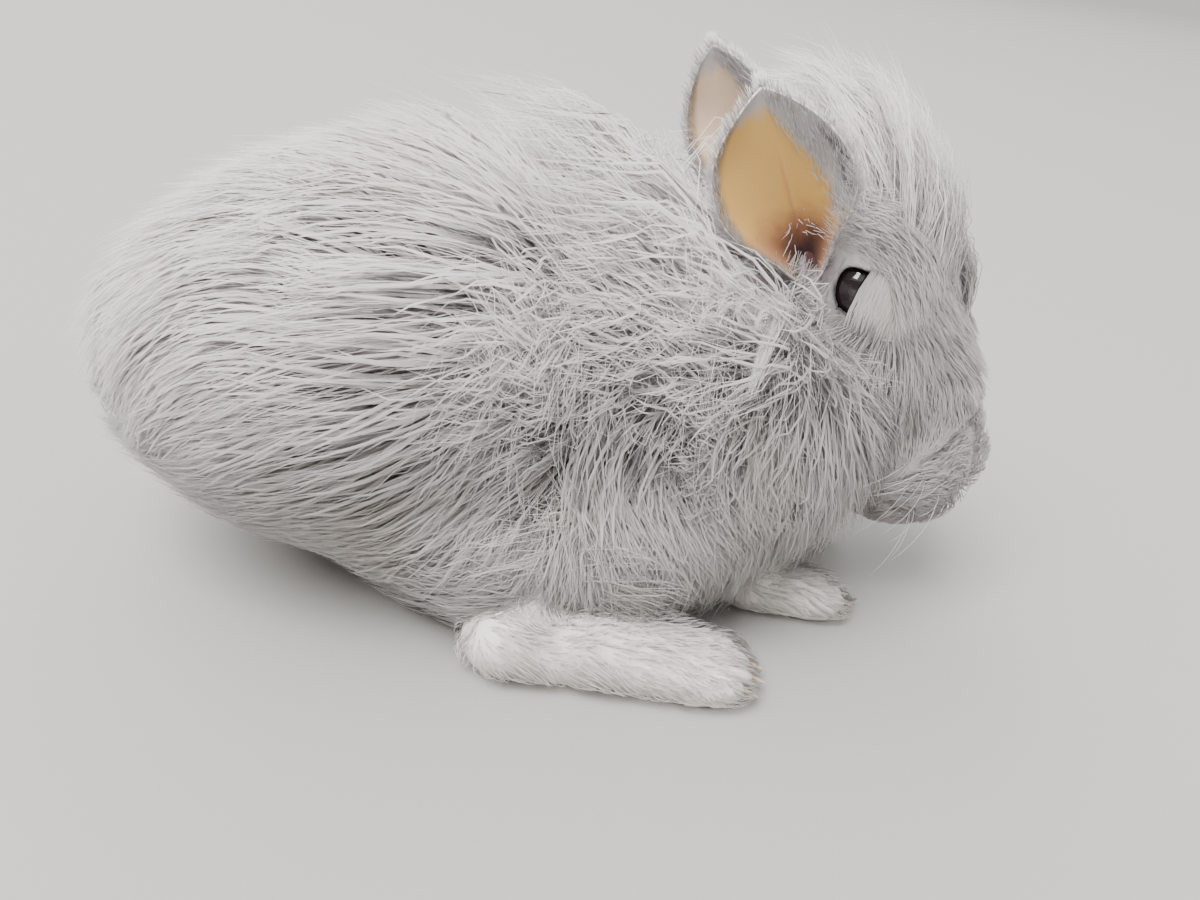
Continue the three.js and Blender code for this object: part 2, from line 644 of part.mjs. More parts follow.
const taken = union([headSpace(gap / 2), legRoom, earRoom]);
const nape = body.subtract(behindWall(-gap / 2)).add(lockSolids(neckLocks, 0)).subtract(taken);
add("neck", largest(nape), finish.wool);
const back = body.add(lockSolids(torsoLocks, 0)).intersect(behindWall(gap / 2));
const cleared = union([taken, tailSpace(gap / 2), lockSolids(neckLocks, lockRoom)]);
add("torso", largest(back.subtract(cleared)), finish.wool);
add("tail", largest(body.add(lockSolids(tailLocks, 0)).intersect(tailSpace(-gap / 2))), finish.wool);
for (const [side, sign] of Object.entries(sides)) {
  add(`ear_${side}`, largest(earSolid(side, 0).subtract(formSolid(head, 0, gap, headPose))), finish.ear);
  add(`eye_${side}`, ellipsoid(eyeMass(sign, 0), 0, headPose, eye.grid), finish.eye);
  for (const [name, leg] of Object.entries(legs)) add(`${name}_${side}`, legSolid(leg, side, 0), finish.foot);
}

// The origin is on the floor, under the middle of the whole.
const middle = new THREE.Box3().setFromObject(model).getCenter(new THREE.Vector3());
model.position.set(-middle.x, -middle.y, 0);

export default model;
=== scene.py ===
import math

import bpy
import numpy as np
from mathutils import Matrix, Vector, kdtree


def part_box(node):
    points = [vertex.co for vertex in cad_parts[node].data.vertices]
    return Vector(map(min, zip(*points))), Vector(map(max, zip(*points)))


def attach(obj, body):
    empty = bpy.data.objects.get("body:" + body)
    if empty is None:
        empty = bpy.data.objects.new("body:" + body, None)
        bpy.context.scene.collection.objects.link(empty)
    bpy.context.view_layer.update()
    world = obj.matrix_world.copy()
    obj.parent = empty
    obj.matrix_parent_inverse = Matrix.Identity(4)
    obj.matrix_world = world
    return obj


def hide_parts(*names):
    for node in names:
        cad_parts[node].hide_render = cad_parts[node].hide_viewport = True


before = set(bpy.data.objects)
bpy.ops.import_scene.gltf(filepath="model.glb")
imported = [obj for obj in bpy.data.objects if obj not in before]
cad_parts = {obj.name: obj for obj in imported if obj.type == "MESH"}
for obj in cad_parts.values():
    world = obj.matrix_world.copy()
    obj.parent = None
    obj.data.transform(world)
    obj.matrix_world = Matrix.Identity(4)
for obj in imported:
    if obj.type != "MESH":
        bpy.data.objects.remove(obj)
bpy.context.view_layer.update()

# All sizes are in millimetres, in the rabbit's own frame: x towards the nose, y to its left, z up from the
# floor. A mass is (centre, half sizes) of an ellipsoid.

trunk = {
    "softness": 5.0,
    "flesh": [
        ((-26, 0, 61), (60, 38, 36)),  # loin and back
        ((-54, 22, 50), (36, 26, 35)),  # left haunch
        ((-54, -22, 50), (36, 26, 35)),  # right haunch
        ((2, 0, 42), (58, 36, 25)),  # belly
        ((30, 12, 56), (32, 24, 34)),  # left shoulder
        ((30, -12, 56), (32, 24, 34)),  # right shoulder
        ((50, 1, 80), (22, 22, 24)),  # nape
        ((60, 1, 56), (24, 24, 28)),  # throat
        ((-98, 0, 54), (13, 9, 13)),  # tail
    ],
    "coat": [
        ((-62, 0, 60), (55, 60, 46)),  # rump
        ((-26, 0, 68), (70, 68, 55)),  # back and flanks
        ((25, 0, 66), (58, 62, 56)),  # shoulders
        ((4, 0, 30), (70, 68, 40)),  # hem
        ((42, 1, 82), (42, 54, 46)),  # ruff
        ((56, 1, 52), (42, 56, 46)),  # bib
        ((-104, 0, 56), (20, 19, 21)),  # tail
    ],
}

# The head is built about the point midway between the eyes, with its x axis along the face.
head = {
    "origin": (74, 1.4, 94.7),
    "yaw": -12,
    "pitch": 43,
    "softness": 3.0,
    "flesh": [
        ((-12, 0, 1), (27, 22, 22)),  # cranium
        ((3, 0, -19), (29, 21, 20)),  # cheeks and jaw
        ((6, 14, 5), (14, 8, 11)),  # left brow
        ((6, -14, 5), (14, 8, 11)),  # right brow
        ((24, 0, 0), (24, 15, 17)),  # root of the nose
        ((44, 0, -7), (22, 12.5, 13)),  # bridge of the nose
        ((57, 7, -18), (14, 10, 12)),  # left whisker pad
        ((57, -7, -18), (14, 10, 12)),  # right whisker pad
        ((67, 0, -9), (6, 5.5, 6)),  # nose
        ((56, 0, -30), (13, 9, 7.5)),  # chin
    ],
}

eye = {
    "at": (1, 15.6, 1.5),
    "radius": 8.3,
    "lid": 1.7,
    "lidBlend": 2.5,
    "opening": (7.4, 7.0, 5.6),
    "slant": 12,
    "rim": 10.4,
    "rimColour": "#3B3238",
}
# The hollow at the foot of each ear, darkened by painted shade on the skin, and how far the hairs keep from
# its middle.
earPit = {"at": (-13, 22.5, -1), "radius": 5.5, "clear": 4.8, "colour": "#4A2A2C"}
nostril = {"at": (71.5, 2.8, -8.5), "half": (2.4, 0.9, 2.8), "slant": 35, "blend": 0.8}
nosePad = {"at": (71, 0, -10.5), "squash": (1, 1, 0.8), "radius": 5.2}
mouth = {
    "corner": (46, 15, -24),
    "front": (72, 0, -28),
    "radius": 0.8,
    "cleftTop": (75, 0, -14),
    "cleftRadius": 0.6,
    "blend": 0.9,
}

ear = {
    "length": 50,
    "halfWidth": 20,
    "thickness": 1.7,
    "sunk": 3,
    "ripple": 0.35,
    "ridge": 0.35,
    "rings": 90,
    "columns": 64,
    "wrapBase": 2.3,
    "wrapTip": 0.75,
    "right": {"base": (-13, -20, -4), "tip": (-53, -32, 12), "opening": (-0.35, -0.9, 0.2)},
    "left": {"base": (-20, 16, -2), "tip": (-63, 14, 5), "opening": (-0.85, -0.45, 0.2)},
}

hindLeg = {
    "flesh": [((9, 0, 9), (9.5, 9, 10)), ((30, 0, 8), (27, 9.5, 10.5)), ((50, 0, 6), (18, 11, 8))],
    "softness": 1.6,
    "toes": {"at": 63, "curve": 1.4, "length": 11, "width": 3.4, "height": 5.2, "spread": 5.6, "count": 4},
    "claw": {"radius": 1.3, "length": 7},
    "shank": {"radius": 8.5, "foot": (11, 0, 10), "knee": (24, 16, 40)},
    "right": {"heel": (-20, -54), "turn": -3},
    "left": {"heel": (-34, 48), "turn": 5},
}

foreLeg = {
    "flesh": [((8, 0, 7), (8, 7, 7.5)), ((18, 0, 5.5), (14, 7.5, 7))],
    "softness": 1.2,
    "toes": {"at": 29, "curve": 1.4, "length": 8, "width": 2.6, "height": 4, "spread": 4, "count": 4},
    "claw": {"radius": 1.1, "length": 6},
    "shank": {"radius": 7.5, "foot": (8, 0, 8), "knee": (0, 2, 46)},
    "right": {"heel": (52, -20), "turn": -2},
    "left": {"heel": (56, 20), "turn": 3},
}


def turnZ(degrees):
    c, s = math.cos(math.radians(degrees)), math.sin(math.radians(degrees))
    return np.array([[c, -s, 0], [s, c, 0], [0, 0, 1]])


def turnY(degrees):
    c, s = math.cos(math.radians(degrees)), math.sin(math.radians(degrees))
    return np.array([[c, 0, s], [0, 1, 0], [-s, 0, c]])


headTurn = turnZ(head["yaw"]) @ turnY(head["pitch"])
headOrigin = np.array(head["origin"], float)


def toHead(points):
    return (points - headOrigin) @ headTurn


def fromHead(points):
    return np.asarray(points, float) @ headTurn.T + headOrigin


# A place as it is given, or mirrored across the middle where the sign is -1.
def onSide(at, sign):
    return np.array([at[0], at[1] * sign, at[2]], float)


# The CAD frame has its origin under the middle of the whole. The eye says how far off the rabbit's own is.
low, high = (np.array(corner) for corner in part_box("eye_right"))
shift = (low + high) * 500 - fromHead(onSide(eye["at"], -1))
shift[2] = 0.0


def toFrame(points):
    return (np.asarray(points, float) + shift) / 1000


def unit(v):
    return v / np.maximum(np.linalg.norm(v, axis=-1, keepdims=True), 1e-9)


def smooth(x, low, high):
    t = np.clip((x - low) / (high - low), 0, 1)
    return t * t * (3 - 2 * t)


def mix(a, b, t):
    return a + (b - a) * t


def vectors(x, y, z):
    return np.stack(np.broadcast_arrays(x, y, z), -1)


# Both sides folded onto the left.
def folded(p):
    return vectors(p[..., 0], np.abs(p[..., 1]), p[..., 2])


# Distance to masses run softly together, and the way out of them.
def massField(points, masses, softness):
    total = np.zeros(points.shape[:-1], points.dtype)
    away = np.zeros_like(points)
    for centre, half in masses:
        q = (points - np.array(centre, points.dtype)) / np.array(half, points.dtype)
        reach = np.sqrt((q * q).sum(-1))
        q /= np.array(half, points.dtype)
        steep = np.maximum(np.sqrt((q * q).sum(-1)), 1e-6)
        weight = np.exp(np.clip(-reach * (reach - 1) / steep / softness, -60, 60))
        total += weight
        away += (weight / steep)[..., None] * q
    distance = -softness * np.log(total + 1e-26)
    return distance, unit(away)


def trunkField(points):
    return massField(points, trunk["flesh"], trunk["softness"])


def headField(points):
    return massField(points, head["flesh"], head["softness"])


def ontoHead(points, steps):
    for _ in range(steps):
        distance, out = headField(points)
        points = points - out * distance[:, None]
    return points


def capsuleDistance(points, start, end, radius):
    start, end = np.array(start, float), np.array(end, float)
    along = end - start
    t = np.clip(((points - start) @ along) / (along @ along), 0, 1)
    return np.linalg.norm(points - start - t[..., None] * along, axis=-1) - radius


def softMin(a, b, k):
    h = np.clip(0.5 + 0.5 * (b - a) / k, 0, 1)
    return mix(b, a, h) - k * h * (1 - h)


def toFoot(points, leg, side):
    heel = np.array([*leg[side]["heel"], 0.0])
    return (points - heel) @ turnZ(leg[side]["turn"])


def fromFoot(points, leg, side):
    return np.asarray(points, float) @ turnZ(leg[side]["turn"]).T + np.array([*leg[side]["heel"], 0.0])


def legDistance(points, leg, side):
    local = toFoot(points, leg, side)
    inward = -1 if leg[side]["heel"][1] > 0 else 1
    distance, _ = massField(local, leg["flesh"], leg["softness"])
    toes = leg["toes"]
    for i in range(toes["count"]):
        offset = i - (toes["count"] - 1) / 2
        at = (toes["at"] - toes["curve"] * offset**2, toes["spread"] * offset, toes["height"] * 0.9)
        toe, _ = massField(local, [(at, (toes["length"], toes["width"], toes["height"]))], 1.0)
        distance = softMin(distance, toe, 1.6)
    shank = leg["shank"]
    knee = onSide(shank["knee"], inward)
    distance = softMin(distance, capsuleDistance(local, shank["foot"], knee, shank["radius"]), 4.0)
    return np.maximum(distance, 0.05 - points[..., 2])


def mouthLine(count):
    u = np.linspace(-1, 1, count)
    back = np.abs(u) ** 1.6
    corner, front = mouth["corner"], mouth["front"]
    beside = corner[1] * np.sin(u * math.pi / 2)
    return ontoHead(vectors(mix(front[0], corner[0], back), beside, mix(front[2], corner[2], back)), 6)


# The bare head with its sockets, the openings between the lids, the nostrils and the line of the mouth.
def headDistance(points):
    local = toHead(points)
    distance, _ = headField(local)
    for side in (1, -1):
        at = onSide(eye["at"], side)
        fromEye = np.linalg.norm(local - at, axis=-1)
        distance = softMin(distance, fromEye - eye["radius"] - eye["lid"], eye["lidBlend"])
        pole = (local - at - np.array([0, eye["radius"] * side, 0])) @ turnY(eye["slant"])
        long, deep, high = eye["opening"]
        high = high * (1 - 0.3 * np.clip(pole[..., 0] / long, -1, 1) ** 2)
        across, into, over = ((pole[..., i] / size) ** 2 for i, size in enumerate((long, deep, high)))
        almond = (np.sqrt(across + into + over) - 1) * 5
        distance = -softMin(-distance, almond, 1.0)
        distance = -softMin(-distance, fromEye - eye["radius"] - 0.25, 0.2)
        nose = (local - onSide(nostril["at"], side)) @ turnZ(nostril["slant"] * side)
        hole, _ = massField(nose, [((0, 0, 0), nostril["half"])], 0.5)
        distance = -softMin(-distance, hole, nostril["blend"])
    line = mouthLine(15)
    groove = np.full(distance.shape, 1e3)
    for a, b in zip(line[:-1], line[1:]):
        groove = np.minimum(groove, capsuleDistance(local, a, b, mouth["radius"]))
    middle = line[len(line) // 2]
    groove = np.minimum(groove, capsuleDistance(local, mouth["cleftTop"], middle, mouth["cleftRadius"]))
    return -softMin(-distance, groove, mouth["blend"])


sides = {"left": 1, "right": -1}
legs = [(leg, side) for leg in (hindLeg, foreLeg) for side in sides]

print("skin: flesh masses run together and drawn as one closed surface")

skinSize = {"step": 0.95, "low": (-118, -70, -2), "high": (136, 66, 128), "blend": 5.0, "slab": 36}


def drawSkin():
    step = skinSize["step"]
    start = np.array(skinSize["low"], float)
    counts = ((np.array(skinSize["high"]) - start) / step).astype(int) + 1
    axes = [start[i] + step * np.arange(counts[i]) for i in range(3)]
    values = np.full(counts, 40.0, np.float32)

    def block(low, high, blend, measure):
        first = [max(int((low[i] - start[i]) / step), 0) for i in range(3)]
        last = [int((high[i] - start[i]) / step) + 1 for i in range(3)]
        cut = tuple(slice(a, b) for a, b in zip(first, last))
        grid = np.stack(np.meshgrid(*(axis[part] for axis, part in zip(axes, cut)), indexing="ij"), -1)
        new = measure(grid.astype(np.float32)).astype(np.float32)
        values[cut] = softMin(values[cut], new, blend)

    slab = skinSize["slab"]  # the trunk is taken in slabs, to keep the arrays small
    for x in np.arange(-120, 95, slab):
        block((x, -66, 5), (x + slab - step, 66, 112), 0.01, lambda p: trunkField(p)[0])
    block((36, -38, 8), (135, 38, 134), skinSize["blend"], headDistance)
    for leg, side in legs:
        x, y = leg[side]["heel"]
        long = leg["toes"]["at"] + leg["toes"]["length"] + 8
        block((x - 14, y - 26, -2), (x + long, y + 26, 54), 3.0, lambda p: legDistance(p, leg, side))
    return netSurface(values, start, step)


# One vertex in each cell that the surface crosses, and one face for each crossed edge of the grid.
def netSurface(values, start, step):
    inside = values < 0
    counts = np.array(values.shape)
    corner = [(i, j, k) for i in (0, 1) for j in (0, 1) for k in (0, 1)]
    filled = sum(
        inside[i:counts[0] - 1 + i, j:counts[1] - 1 + j, k:counts[2] - 1 + k].astype(np.int8)
        for i, j, k in corner)
    cells = np.argwhere((filled > 0) & (filled < 8))
    number = np.full(counts, -1, np.int64)
    number[tuple(cells.T)] = np.arange(len(cells))
    total = np.zeros((len(cells), 3))
    crossings = np.zeros(len(cells))
    for axis in range(3):
        others = [a for a in range(3) if a != axis]
        for i in (0, 1):
            for j in (0, 1):
                offset = np.zeros(3, int)
                offset[others[0]], offset[others[1]] = i, j
                far = offset.copy()
                far[axis] = 1
                a = values[tuple((cells + offset).T)].astype(float)
                b = values[tuple((cells + far).T)].astype(float)
                crossed = (a < 0) != (b < 0)
                t = np.where(crossed, a / np.where(crossed, a - b, 1), 0)
                place = np.repeat(offset[None].astype(float), len(cells), 0)
                place[:, axis] = t
                total += np.where(crossed[:, None], place, 0)
                crossings += crossed
    points = start + step * (cells + total / crossings[:, None])
    faces = []
    for axis in range(3):
        ahead = [slice(None)] * 3
        behind = [slice(None)] * 3
        ahead[axis], behind[axis] = slice(1, None), slice(None, -1)
        change = np.argwhere(inside[tuple(behind)] != inside[tuple(ahead)])
        b, c = (axis + 1) % 3, (axis + 2) % 3
        steps = np.zeros((4, 3), int)
        steps[1, b], steps[2, b], steps[2, c], steps[3, c] = -1, -1, -1, -1
        quads = np.stack([number[tuple((change + s).T)] for s in steps], -1)
        leaves = inside[tuple(change.T)]  # the surface faces ahead where the near end is inside
        quads[~leaves] = quads[~leaves][:, ::-1]
        faces.append(quads)
    return points, np.concatenate(faces)


def newMesh(name, points, faces, materials, corners=None, looks=None):
    mesh = bpy.data.meshes.new(name)
    sizes = np.full(len(faces), faces.shape[1]) if corners is None else corners
    flat = np.ascontiguousarray(faces).ravel() if corners is None else faces
    mesh.vertices.add(len(points))
    mesh.vertices.foreach_set("co", toFrame(points).astype(np.float32).ravel())
    mesh.loops.add(len(flat))
    mesh.loops.foreach_set("vertex_index", flat.astype(np.int32))
    mesh.polygons.add(len(sizes))
    mesh.polygons.foreach_set("loop_start", np.concatenate([[0], np.cumsum(sizes)[:-1]]).astype(np.int32))
    mesh.polygons.foreach_set("use_smooth", np.ones(len(sizes), bool))
    if looks is not None:
        # Set before validate, which drops empty faces.
        mesh.polygons.foreach_set("material_index", looks.astype(np.int32))
    mesh.update(calc_edges=True)
    mesh.validate()
    piece = bpy.data.objects.new(name, mesh)
    bpy.context.scene.collection.objects.link(piece)
    for material in materials:
        mesh.materials.append(material)
    return piece


def pointAttribute(mesh, name, values):
    layer = mesh.attributes.new(name, "FLOAT", "POINT")
    layer.data.foreach_set("value", np.asarray(values, np.float32).ravel())


def linear(hexColour):
    parts = [int(hexColour[i:i + 2], 16) / 255 for i in (1, 3, 5)]
    return tuple(c / 12.92 if c <= 0.04045 else ((c + 0.055) / 1.055) ** 2.4 for c in parts) + (1.0,)


# Each input is a value, an sRGB hex colour, or the output of another node, which is linked to it.
def addNode(tree, kind, settings=None, inputs=None):
    node = tree.nodes.new(kind)
    for key, value in (settings or {}).items():
        setattr(node, key, value)
    for key, value in (inputs or {}).items():
        if isinstance(value, bpy.types.NodeSocket):
            tree.links.new(value, node.inputs[key])
        else:
            node.inputs[key].default_value = linear(value) if isinstance(value, str) else value
    return node


def newMaterial(name):
    material = bpy.data.materials.new(name)
    material.use_nodes = True
    tree = material.node_tree
    tree.nodes.clear()
    return material, tree


# The shader and the output. Hair and thin skin let a share of the light through, which softens their shade.
def setSurface(tree, inputs, through=0.0):
    surface = addNode(tree, "ShaderNodeBsdfPrincipled", {}, inputs).outputs["BSDF"]
    if through:
        glow = addNode(tree, "ShaderNodeBsdfTranslucent", {}, {"Color": inputs["Base Color"]}).outputs["BSDF"]
        both = {"Fac": through, 1: surface, 2: glow}
        surface = addNode(tree, "ShaderNodeMixShader", {}, both).outputs["Shader"]
    addNode(tree, "ShaderNodeOutputMaterial", {}, {"Surface": surface})


# Angora wool: fine hollow hair, pale at the tip and a shade greyer towards the root, dull with a soft sheen.
# Real hairs are 0.015 mm across. The streaks stand for bundles of them, 0.3 mm apart, so that they show.
# "apart" sets the noise of one hair far from the next hair's.
# The parting colour is painted shade deep in a parting, laid over the hairs where hairShade marks them.
plainFur = {"streaks": 1.0, "streak": 0.1, "run": 1.6, "apart": 371.0, "partingShade": "#67626B"}
longWool = dict(plainFur, root="#D3CBCB", tip="#F2EEEC", warm="#E4DACD", cool="#D2CACF", patch=30.0)
longWool.update(streaks=2.0, streak=0.12)
underWool = dict(plainFur, root="#CDC5C6", tip="#ECE7E5", warm="#E0D6CB", cool="#D0C8CC", patch=30.0)
underWool.update(streaks=8.0, streak=0.6, run=4.0)
shortFaceFur = dict(plainFur, root="#C4BCBD", tip="#E8E3E1", warm="#DDD3C9", cool="#C9C0C5", patch=12.0)
muzzleFur = dict(plainFur, root="#CDC5C7", tip="#EAE4E3", warm="#E2D7D1", cool="#CBC3C7", patch=9.0)
footFur = dict(plainFur, root="#CFC8C2", tip="#F1ECE8", warm="#E4DAC6", cool="#DAD3D2", patch=9.0)
earFringe = dict(plainFur, root="#C9C4C2", tip="#F3F0EE", warm="#E3DCD3", cool="#D5D0D1", patch=9.0)


def woolMaterial(name, wool):
    material, tree = newMaterial(name)
    share, across, tint, shade = (
        addNode(tree, "ShaderNodeAttribute", {"attribute_name": key}).outputs["Fac"]
        for key in ("hairShare", "hairAcross", "hairTint", "hairShade"))
    place = addNode(tree, "ShaderNodeTexCoord").outputs["Object"]
    spots = {"Scale": 1000 / wool["patch"], "Detail": 3.0, "Vector": place}
    patches = addNode(tree, "ShaderNodeTexNoise", {}, spots).outputs["Fac"]
    own = addNode(tree, "ShaderNodeMath", {"operation": "MULTIPLY"}, {0: tint, 1: wool["apart"]}).outputs[0]
    turned = {0: across, 1: wool["streaks"], 2: own}
    u = addNode(tree, "ShaderNodeMath", {"operation": "MULTIPLY_ADD"}, turned).outputs[0]
    v = addNode(tree, "ShaderNodeMath", {"operation": "MULTIPLY"}, {0: share, 1: wool["run"]}).outputs[0]
    fibre = addNode(tree, "ShaderNodeCombineXYZ", {}, {"X": u, "Y": v, "Z": own}).outputs["Vector"]
    bundles = {"Scale": 1.0, "Detail": 2.0, "Vector": fibre}
    streaks = addNode(tree, "ShaderNodeTexNoise", {}, bundles).outputs["Fac"]
    colour = wool["root"]
    layers = [
        ("tip", share, 0.0, 0.7, 0.0, 1.0),  # from the root to the tip
        ("warm", patches, 0.48, 0.72, 0.0, 0.5),  # faint cream patches
        ("cool", tint, 0.45, 1.0, 0.0, 0.6),  # a greyer hair here and there
        ("root", streaks, 0.35, 0.6, wool["streak"], 0.0),  # dark between the bundles
        ("partingShade", shade, 0.0, 1.0, 0.0, 1.0),  # painted shade deep in a parting
    ]
    for over, value, start, end, least, most in layers:
        band = {"Value": value, "From Min": start, "From Max": end, "To Min": least, "To Max": most}
        factor = addNode(tree, "ShaderNodeMapRange", {}, band).outputs["Result"]
        pair = {"Factor": factor, "A": colour, "B": wool[over]}
        colour = addNode(tree, "ShaderNodeMix", {"data_type": "RGBA"}, pair).outputs["Result"]
    sheen = {"Sheen Weight": 0.3, "Sheen Roughness": 0.5, "Specular IOR Level": 0.25}
    setSurface(tree, {"Base Color": colour, "Roughness": 0.7, "IOR": 1.55, **sheen}, 0.46)
    return material


# Skin under fur: pale, soft, with the fine grain of hair too short to stand out.
bodyHide = {"colour": "#DAD3D2", "deep": "#C6BDBE", "hair": 0.9, "roughness": 0.85, "patch": 14}
faceHide = {"colour": "#D6D0CF", "deep": "#C0B7BA", "hair": 0.7, "roughness": 0.8, "patch": 14}
footHide = {"colour": "#E3DDD8", "deep": "#C6BDB6", "hair": 0.7, "roughness": 0.85, "patch": 14}
noseLeather = {"colour": "#B79A9C", "deep": "#8C7076", "hair": 0.5, "roughness": 0.45, "patch": 14}
earBack = {"colour": "#CFCBC9", "deep": "#A7A2A4", "hair": 0.6, "roughness": 0.8, "patch": 14}


def hideMaterial(name, hide):
    material, tree = newMaterial(name)
    rim, pitShade = (
        addNode(tree, "ShaderNodeAttribute", {"attribute_name": key}).outputs["Fac"]
        for key in ("eyeRim", "earPit"))
    place = addNode(tree, "ShaderNodeTexCoord").outputs["Object"]
    longer = {"Scale": (1.0, 1.0, 0.35), "Vector": place}
    stretched = addNode(tree, "ShaderNodeMapping", {}, longer).outputs["Vector"]
    noises = []
    for size, where in ((hide["hair"], stretched), (hide["patch"], place)):
        spots = {"Scale": 1000 / size, "Detail": 2.0, "Vector": where}
        noises.append(addNode(tree, "ShaderNodeTexNoise", {}, spots).outputs["Fac"])
    grain, patches = noises
    band = {"Value": patches, "From Min": 0.35, "From Max": 0.7, "To Min": 0.5, "To Max": 0.0}
    dark = addNode(tree, "ShaderNodeMapRange", {}, band).outputs["Result"]
    colour = hide["colour"]
    # The eyelids' own dark rim and painted shade in the hollow at the foot of each ear, laid over random
    # darker patches.
    for over, factor in ((hide["deep"], dark), (eye["rimColour"], rim), (earPit["colour"], pitShade)):
        pair = {"Factor": factor, "A": colour, "B": over}
        colour = addNode(tree, "ShaderNodeMix", {"data_type": "RGBA"}, pair).outputs["Result"]
    relief = {"Strength": 0.5, "Distance": 0.0004, "Height": grain}
    bump = addNode(tree, "ShaderNodeBump", {}, relief).outputs["Normal"]
    sheen = {"Sheen Weight": 0.3, "Sheen Roughness": 0.5, "Specular IOR Level": 0.3}
    setSurface(tree, {"Base Color": colour, "Normal": bump, "Roughness": hide["roughness"], **sheen})
    return material


# The cup of the ear: thin bare skin with a painted tan glow for the light through it, and painted shade
# darkening to maroon in the hollow and along its rim, with grey down along its edges and a fine vein up the
# middle.
earCup = {
    "glowTan": "#DAAE60",
    "pink": "#C08A5C",
    "pale": "#E4CDB9",
    "hollow": "#3C1B1F",
    "brownShade": "#8A5B3C",
    "edge": "#957C60",
    "down": "#B9B4B2",
    "charcoal": "#5E595E",
    "vein": "#B9755C",
    "blotch": 3.846,
    "grain": 0.7143,
}


def earCupMaterial(name, cup, litPaler):
    material, tree = newMaterial(name)
    place = addNode(tree, "ShaderNodeTexCoord").outputs["Object"]
    values = {}
    for key, attribute in (("along", "earAlong"), ("across", "earAcross")):
        values[key] = addNode(tree, "ShaderNodeAttribute", {"attribute_name": attribute}).outputs["Fac"]
    for key, size, detail in (("noise", cup["blotch"], 3.0), ("fine", cup["grain"], 2.0)):
        spots = {"Scale": 1000 / size, "Detail": detail, "Vector": place}
        values[key] = addNode(tree, "ShaderNodeTexNoise", {}, spots).outputs["Fac"]
    across = {0: values["across"]}
    values["off"] = addNode(tree, "ShaderNodeMath", {"operation": "ABSOLUTE"}, across).outputs[0]
    sums = [
        ("unevenAlong", "along", "noise", 0.12),
        ("unevenOff", "off", "noise", 0.14),
        ("nearMiddle", "off", "noise", 0.03),
        ("unevenAcross", "across", "noise", 0.16),
        ("slanted", "unevenAcross", "along", 1.15),
    ]
    for key, first, second, scale in sums:
        terms = {0: values[second], 1: scale, 2: values[first]}
        values[key] = addNode(tree, "ShaderNodeMath", {"operation": "MULTIPLY_ADD"}, terms).outputs[0]
    # A colour shows where all its bands do. A band fades in from its first mark to its second, up to a share.
    layers = [
        # The tan is a painted glow of light through the thin upper cup; the pale mix on the left cup is
        # painted light.
        ("glowTan", ("unevenAlong", 0.28, 0.5, 1.0)),
        ("pale", ("along", -0.5, 0.0, litPaler)),
        ("vein", ("nearMiddle", 0.055, 0.02, 1.0), ("along", 0.8, 0.5, 0.4)),
        ("vein", ("fine", 0.62, 0.7, 0.22), ("off", 0.55, 0.2, 1.0)),
        # The brown, the maroon of the hollow and the darker edge are painted shade, towards the foot of the
        # cup and along its rim.
        ("brownShade", ("unevenAlong", 0.5, 0.24, 0.85), ("off", 0.95, 0.3, 1.0)),
        ("hollow", ("unevenAlong", 0.38, 0.2, 1.0), ("off", 0.6, 0.15, 1.0)),
        ("edge", ("unevenOff", 0.84, 0.98, 0.8)),
        ("down", ("slanted", 1.14, 1.28, 1.0), ("unevenAlong", 0.4, 0.52, 1.0)),
        ("charcoal", ("across", 0.7, 0.8, 1.0), ("across", 1.0, 0.92, 1.0), ("along", 0.42, 0.5, 1.0),
         ("along", 0.86, 0.7, 0.85)),
        ("down", ("unevenAlong", 0.9, 1.0, 1.0)),
    ]
    colour = cup["pink"]
    soft = {"interpolation_type": "SMOOTHSTEP"}
    for over, *bands in layers:
        factor = 1.0
        for key, start, end, most in bands:
            band = {"Value": values[key], "From Min": start, "From Max": end, "To Max": most}
            shown = addNode(tree, "ShaderNodeMapRange", soft, band).outputs["Result"]
            both = {0: shown, 1: factor}
            factor = addNode(tree, "ShaderNodeMath", {"operation": "MULTIPLY"}, both).outputs[0]
        pair = {"Factor": factor, "A": colour, "B": cup[over]}
        colour = addNode(tree, "ShaderNodeMix", {"data_type": "RGBA"}, pair).outputs["Result"]
    relief = {"Strength": 0.25, "Distance": 0.0003, "Height": values["fine"]}
    bump = addNode(tree, "ShaderNodeBump", {}, relief).outputs["Normal"]
    skin = {"Roughness": 0.55, "Specular IOR Level": 0.4, "Sheen Weight": 0.2}
    setSurface(tree, {"Base Color": colour, "Normal": bump, **skin}, 0.3)
    return material


# Eye: a wet, near-black brown cornea, smooth as glass, so that it mirrors the lights as sharp points.
cornea = {
    "dark": "#140F14",
    "pale": "#2E2124",
    "fleck": 10 / 3,
    "detail": 3.0,
    "surface": {"Roughness": 0.05, "IOR": 1.38, "Coat Weight": 1.0, "Coat Roughness": 0.03},
}
# Claw: worn horn, pale and slightly clear, darker at the quick, with a low gleam.
clawHorn = {
    "dark": "#8B7468",
    "pale": "#CDBFA8",
    "surface": {"Roughness": 0.35, "IOR": 1.54, "Subsurface Weight": 0.15, "Subsurface Scale": 0.001},
}
# Studio floor: matt paper, warm white, which shows no gleam.
floorPaper = {
    "dark": "#9A9894",
    "pale": "#969490",
    "fleck": 10 / 9,
    "detail": 2.0,
    "surface": {"Roughness": 0.9, "Specular IOR Level": 0.2},
}


